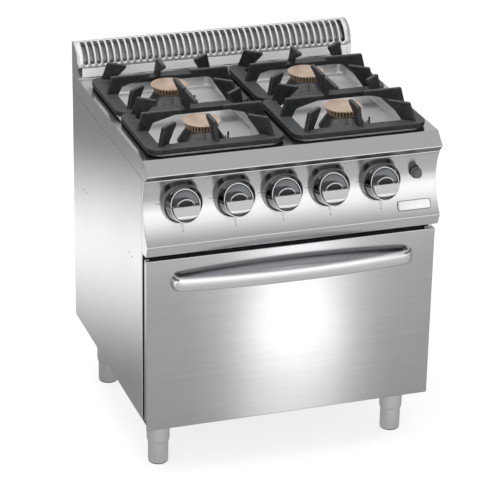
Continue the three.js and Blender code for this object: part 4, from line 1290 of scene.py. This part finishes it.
def burner_cap(name):
    """A thin disc over a tapering band of flame ports, with a spigot that sits in the burner body."""
    node = f"burner_cap_{name}"
    low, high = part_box(node)
    spot = (low + high) / 2
    top = high.z
    ports, per_port = 34, 6
    disc = (high.x - low.x) / 2 - 0.6 * MM
    rim = top - 3 * MM
    crown = fillet([(0, rim), (disc - 3 * MM, rim), (disc, rim + 1.2 * MM), (disc, top - 1.2 * MM),
                    (disc - 1.6 * MM, top), (0, top)], [0.6 * MM, 0.8 * MM, 0.8 * MM, 0.8 * MM], 4)
    bm = moved(lathe([tuple(p) for p in crown], 120), Matrix.Translation((spot.x, spot.y, 0)))
    body = f"burner_cap_{name}"
    piece(f"burner_crown_{name}", bm, CAP_BRASS, body, [node], crease=40)
    seat = low.z + 10.4 * MM
    band_low, band_high = seat + 3.6 * MM, rim - 2.4 * MM
    line = [(27 * MM, rim - 1 * MM), (27 * MM, low.z), (30.2 * MM, low.z),
            (30.4 * MM, seat), (40.4 * MM, seat),
            (42.4 * MM, band_low - 0.6 * MM), (42.8 * MM, band_low),
            (47.6 * MM, band_high), (48.2 * MM, band_high + 0.6 * MM),
            (48.8 * MM, rim + 0.3 * MM), (30 * MM, rim + 0.3 * MM)]

    def slots(index, i):
        deep = i % per_port in (0, 1)
        return -4.5 * MM if deep and index in (6, 7) else 0

    bm = moved(lathe(line, ports * per_port, slots), Matrix.Translation((spot.x, spot.y, 0)))
    band = piece(f"burner_ports_{name}", bm, PORT_BRASS, body, crease=25)
    band.data.materials.append(PORT_SLOT_SHADE)
    # Painted shade: the faces inside the port slots get the near-black colour.
    for face in band.data.polygons:
        out = face.center - Vector((spot.x, spot.y, 0))
        step = math.atan2(out.y, out.x) % math.tau / math.tau * ports * per_port
        if int(step) % per_port in (0, 1, per_port - 1) and band_low < face.center.z < band_high:
            face.material_index = 1


def electrode(name):
    """The spark electrode and thermocouple that stand beside a burner's head."""
    spot = middle(f"burner_body_{name}")
    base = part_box(f"burner_body_{name}")[0].z + 71 * MM
    for label, turn, height, radius, material in (("electrode", -34, 30 * MM, 2.6 * MM, ENAMEL),
                                                  ("thermocouple", -48, 26 * MM, 2.0 * MM, STEEL_DARK)):
        angle = math.radians(turn)
        x, y = spot.x + 71 * MM * math.cos(angle), spot.y + 71 * MM * math.sin(angle)
        outline = fillet([(0, base - 7 * MM), (radius * 1.7, base - 7 * MM),
                          (radius * 1.7, base + 8 * MM), (radius, base + 9 * MM),
                          (radius, base + height), (radius * 0.5, base + height + 3 * MM),
                          (0, base + height + 3 * MM)],
                         [0.3 * MM, 0.5 * MM, 0.3 * MM, 0.3 * MM, 0.2 * MM], 3)
        bm = moved(lathe([tuple(p) for p in outline], 32), Matrix.Translation((x, y, 0)))
        piece(f"burner_{label}_{name}", bm, material, "cabinet")


def pan_support(name):
    """The casting: the frame's shape, remeshed finely and smoothed so that every edge is soft, as poured."""
    node = f"pan_support_{name}"
    bm = bmesh.new()
    bm.from_mesh(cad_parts[node].data)
    bmesh.ops.remove_doubles(bm, verts=bm.verts, dist=1e-5)
    casting = piece(f"pan_casting_{name}", bm, IRON, node, [node], crease=180)
    voxels = casting.modifiers.new("voxels", "REMESH")
    voxels.mode = "VOXEL"
    voxels.voxel_size = 1.8 * MM
    soften = casting.modifiers.new("soften", "SMOOTH")
    soften.factor = 0.5
    soften.iterations = 4
    bake(casting)


def bake(obj):
    """Applies a piece's modifiers."""
    bpy.context.view_layer.update()
    made = bpy.data.meshes.new_from_object(obj.evaluated_get(bpy.context.evaluated_depsgraph_get()))
    obj.modifiers.clear()
    made.name = obj.name
    made.shade_smooth()
    obj.data = made


# ---------------------------------------------------------------- door

def door():
    rear = DOOR_HIGH.y
    bm = block(DOOR_LOW, (DOOR_HIGH.x, rear, DOOR_HIGH.z))
    back = [f for f in bm.faces if f.normal.y > 0.9]
    bmesh.ops.delete(bm, geom=back, context="FACES")
    front_edges = [e for e in bm.edges if not e.is_boundary]
    bmesh.ops.bevel(bm, geom=front_edges, offset=2.6 * MM, segments=6, profile=0.5, affect="EDGES")
    bmesh.ops.recalc_face_normals(bm, faces=bm.faces)
    outer = piece("door_skin", bm, STEEL_DOOR, "oven_door", ["door_outer_panel"], crease=40)
    if max(outer.data.polygons, key=lambda p: p.area).normal.y > 0:
        outer.data.flip_normals()
    skin = outer.modifiers.new("skin", "SOLIDIFY")
    skin.thickness = SHEET
    skin.offset = -1
    notch_low = Vector((383 * MM, DOOR_LOW.y + 1.8 * MM, DOOR_LOW.z - 1 * MM))
    notch_high = Vector((HALF, rear + 1 * MM, DOOR_LOW.z + 30 * MM))
    notches = [block(notch_low, notch_high)]
    notches.append(block((-notch_high.x, *notch_low.yz), (-notch_low.x, *notch_high.yz)))
    keep_flat(cut(outer, *notches))
    make_door_light(outer)


def handle():
    low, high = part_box("door_handle")
    half, z = high.x - 8 * MM, (low.z + high.z) / 2
    tall, thick = (high.z - low.z) / 2, 8 * MM
    front = low.y + thick
    door_y = DOOR_LOW.y
    corner = 26 * MM
    shoulder_x, shoulder_y = half - corner, -355 * MM
    control = 2 * front - shoulder_y
    rise = (shoulder_y - control) / shoulder_x

    def bezier(points, share):
        while len(points) > 1:
            points = [a.lerp(b, share) for a, b in zip(points, points[1:])]
        return points[0]

    start = [Vector((-half, door_y - 0.3 * MM, z)), Vector((-half, door_y - 16 * MM, z)),
             Vector((-shoulder_x - 14 * MM, shoulder_y + 14 * MM * rise, z)),
            Vector((-shoulder_x, shoulder_y, z))]
    bow = [start[-1], Vector((0, control, z)), Vector((shoulder_x, shoulder_y, z))]
    path = [bezier(start, i / 26) for i in range(26)]
    path += [bezier(bow, i / 70) for i in range(70)]
    path += [Vector((-p.x, p.y, p.z)) for p in [bezier(start, i / 26) for i in range(27)][::-1]]
    section = []
    for i in range(40):
        turn = i / 40 * math.tau
        squared = 0.82
        section.append((thick * math.copysign(abs(math.cos(turn)) ** squared, math.cos(turn)),
                        tall * math.copysign(abs(math.sin(turn)) ** squared, math.sin(turn))))
    piece("door_handle_bar", sweep(path, section), STEEL_POLISHED, "oven_door",
          ["door_handle"], crease=60)


# ---------------------------------------------------------------- oven

def rack():
    """A plated wire rack: a frame of rod, a cross rod, and thinner wires from front to back."""
    low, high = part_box("oven_rack")
    z = (low.z + high.z) / 2
    frame_r, wire_r = 3 * MM, 1.9 * MM
    ring = [(math.cos(i / 16 * math.tau), math.sin(i / 16 * math.tau)) for i in range(16)]
    inner = (high.x - low.x - 2 * frame_r, high.y - low.y - 2 * frame_r)
    centre = ((low.x + high.x) / 2, (low.y + high.y) / 2)
    outline = rounded_rect(centre, inner[0], inner[1], 12 * MM, 6)
    bm = bmesh.new()
    loops = []
    for i, point in enumerate(outline):
        ahead = (outline[(i + 1) % len(outline)] - outline[i - 1]).normalized()
        across = Vector((ahead.y, -ahead.x))
        loops.append([bm.verts.new((point.x + across.x * frame_r * a,
                                    point.y + across.y * frame_r * a, z + frame_r * b))
                      for a, b in ring])
    for i, loop in enumerate(loops):
        following = loops[(i + 1) % len(loops)]
        for k in range(16):
            m = (k + 1) % 16
            bm.faces.new((loop[k], loop[m], following[m], following[k]))
    bmesh.ops.recalc_face_normals(bm, faces=bm.faces)
    parts = [bm]
    wires = 17
    section = [(a * wire_r, b * wire_r) for a, b in ring]
    for i in range(wires):
        x = centre[0] + (i - (wires - 1) / 2) * inner[0] / (wires + 1)
        path = [Vector((x, low.y + frame_r, z + 0.9 * MM)), Vector((x, high.y - frame_r, z + 0.9 * MM))]
        parts.append(sweep(path, section))
    for share in (0.33, 0.67):
        y = low.y + (high.y - low.y) * share
        path = [Vector((low.x + frame_r, y, z - 1 * MM)), Vector((high.x - frame_r, y, z - 1 * MM))]
        parts.append(sweep(path, section))
    piece("oven_rack_wires", merge(*parts), RACK_CHROME, "cabinet", ["oven_rack"], crease=60)


def oven_burner():
    """Round burner tubes with a row of flame ports along the top."""
    low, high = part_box("oven_burner")
    z = (low.z + high.z) / 2
    ring = [(math.cos(i / 28 * math.tau), math.sin(i / 28 * math.tau)) for i in range(28)]
    parts = []
    for x in (-40 * MM, 40 * MM):
        path = [Vector((x, low.y, z)), Vector((x, high.y, z))]
        parts.append(sweep(path, [(a * 15 * MM, b * 15 * MM) for a, b in ring]))
        for i in range(24):
            spot = Matrix.Translation((x, low.y + (i + 1) * (high.y - low.y) / 25, z + 14.6 * MM))
            port = lathe([(0.9 * MM, 0), (2.4 * MM, 0), (2.0 * MM, 0.35 * MM), (0.9 * MM, 0.35 * MM)], 16)
            parts.append(moved(port, spot))
    for y in (high.y - 15 * MM, low.y + 15 * MM):
        path = [Vector((low.x + 12 * MM, y, z)), Vector((high.x - 12 * MM, y, z))]
        parts.append(sweep(path, [(a * 13 * MM, b * 13 * MM) for a, b in ring]))
    piece("oven_burner_tubes", merge(*parts), STEEL_DARK, "cabinet", ["oven_burner"], crease=40)


# ---------------------------------------------------------------- legs

def leg(name):
    low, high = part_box(f"leg_sleeve_{name}")
    spot = (low + high) / 2
    split, top = low.z, high.z
    line = [(28.1 * MM, top - 11 * MM), (28.1 * MM, split + 0.5 * MM),
            (28.6 * MM, split), (30.2 * MM, split + 4 * MM),
            (31 * MM, split + 12 * MM), (31 * MM, top - 4 * MM),
            (36 * MM, top - 3 * MM), (36 * MM, top), (0, top),
            (0, top - 11 * MM)]
    radii = [0, 0.3 * MM, 4 * MM, 6 * MM, 0.8 * MM, 0.6 * MM, 0.4 * MM, 0]
    outline = [tuple(p) for p in fillet(line, radii, 4)]
    outline = [outline[-1]] + outline[:-1]
    bm = moved(lathe(outline, 80), Matrix.Translation((spot.x, spot.y, 0)))
    piece(f"leg_tube_{name}", bm, STEEL_LEG_LIT, "cabinet", [f"leg_sleeve_{name}"], crease=40)
    low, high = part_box(f"adjustable_foot_{name}")
    line = [(0, 3 * MM), (26.5 * MM, 3 * MM), (27.5 * MM, 6 * MM), (27.5 * MM, high.z), (0, high.z)]
    outline = [tuple(p) for p in fillet(line, [0.4 * MM, 3 * MM, 0.8 * MM], 5)]
    body = f"foot_{name}"
    bm = moved(lathe(outline, 80), Matrix.Translation((spot.x, spot.y, 0)))
    piece(f"foot_tube_{name}", bm, STEEL_LEG_LIT, body, [f"adjustable_foot_{name}"], crease=40)
    line = [(0, 0), (25 * MM, 0), (26.4 * MM, 1.2 * MM), (26.4 * MM, 3.4 * MM), (0, 3.4 * MM)]
    outline = [tuple(p) for p in fillet(line, [0.5 * MM, 0.5 * MM, 0.3 * MM], 3)]
    bm = moved(lathe(outline, 80), Matrix.Translation((spot.x, spot.y, 0)))
    piece(f"foot_pad_{name}", bm, RUBBER, body, crease=40)


# ---------------------------------------------------------------- back

def back_details():
    """Screws round the back panel."""
    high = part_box("back_panel")[1]
    heads = []
    for x in (-380 * MM, -127 * MM, 127 * MM, 380 * MM):
        for z in (185 * MM, 420 * MM, 655 * MM, 835 * MM):
            turn = Matrix.Rotation(-math.pi / 2, 4, "X")
            place_at = Matrix.Translation((x, high.y - 1.9 * MM, z))
            heads.append(moved(screw_head(6 * MM, 2.2 * MM), place_at @ turn))
    piece("back_screws", merge(*heads), STEEL_DARK, "cabinet")


# ---------------------------------------------------------------- the whole range

make_studio()
side_panel("left_side_panel", -1)
side_panel("right_side_panel", 1)
worktop()
flue_grille()
control_panel()
markings()
badge()
igniter()
for index in KNOBS:
    knob_collar(index)
    knob(index)
for label in ("left", "right"):
    spill_well(label)
for name in PLACES:
    burner_body(name)
    burner_cap(name)
    electrode(name)
    pan_support(name)
    leg(name)
door()
handle()
rack()
oven_burner()
back_details()
carry_over(ZINC, "back_panel", "base_tray", "flue_duct", "gas_manifold")
carry_over(ENAMEL, "oven_liner", "door_inner_panel")
carry_over(IRON, "oven_floor_plate")
carry_over(STEEL_DARK, "door_hinge_left", "door_hinge_right")
carry_over(VALVE_BRASS, "gas_tap_1", "gas_tap_2", "oven_thermostat_valve", "gas_tap_4", "gas_tap_5",
           *(f"valve_stem_{i}" for i in KNOBS))
carry_over(RUBBER, "door_seal")
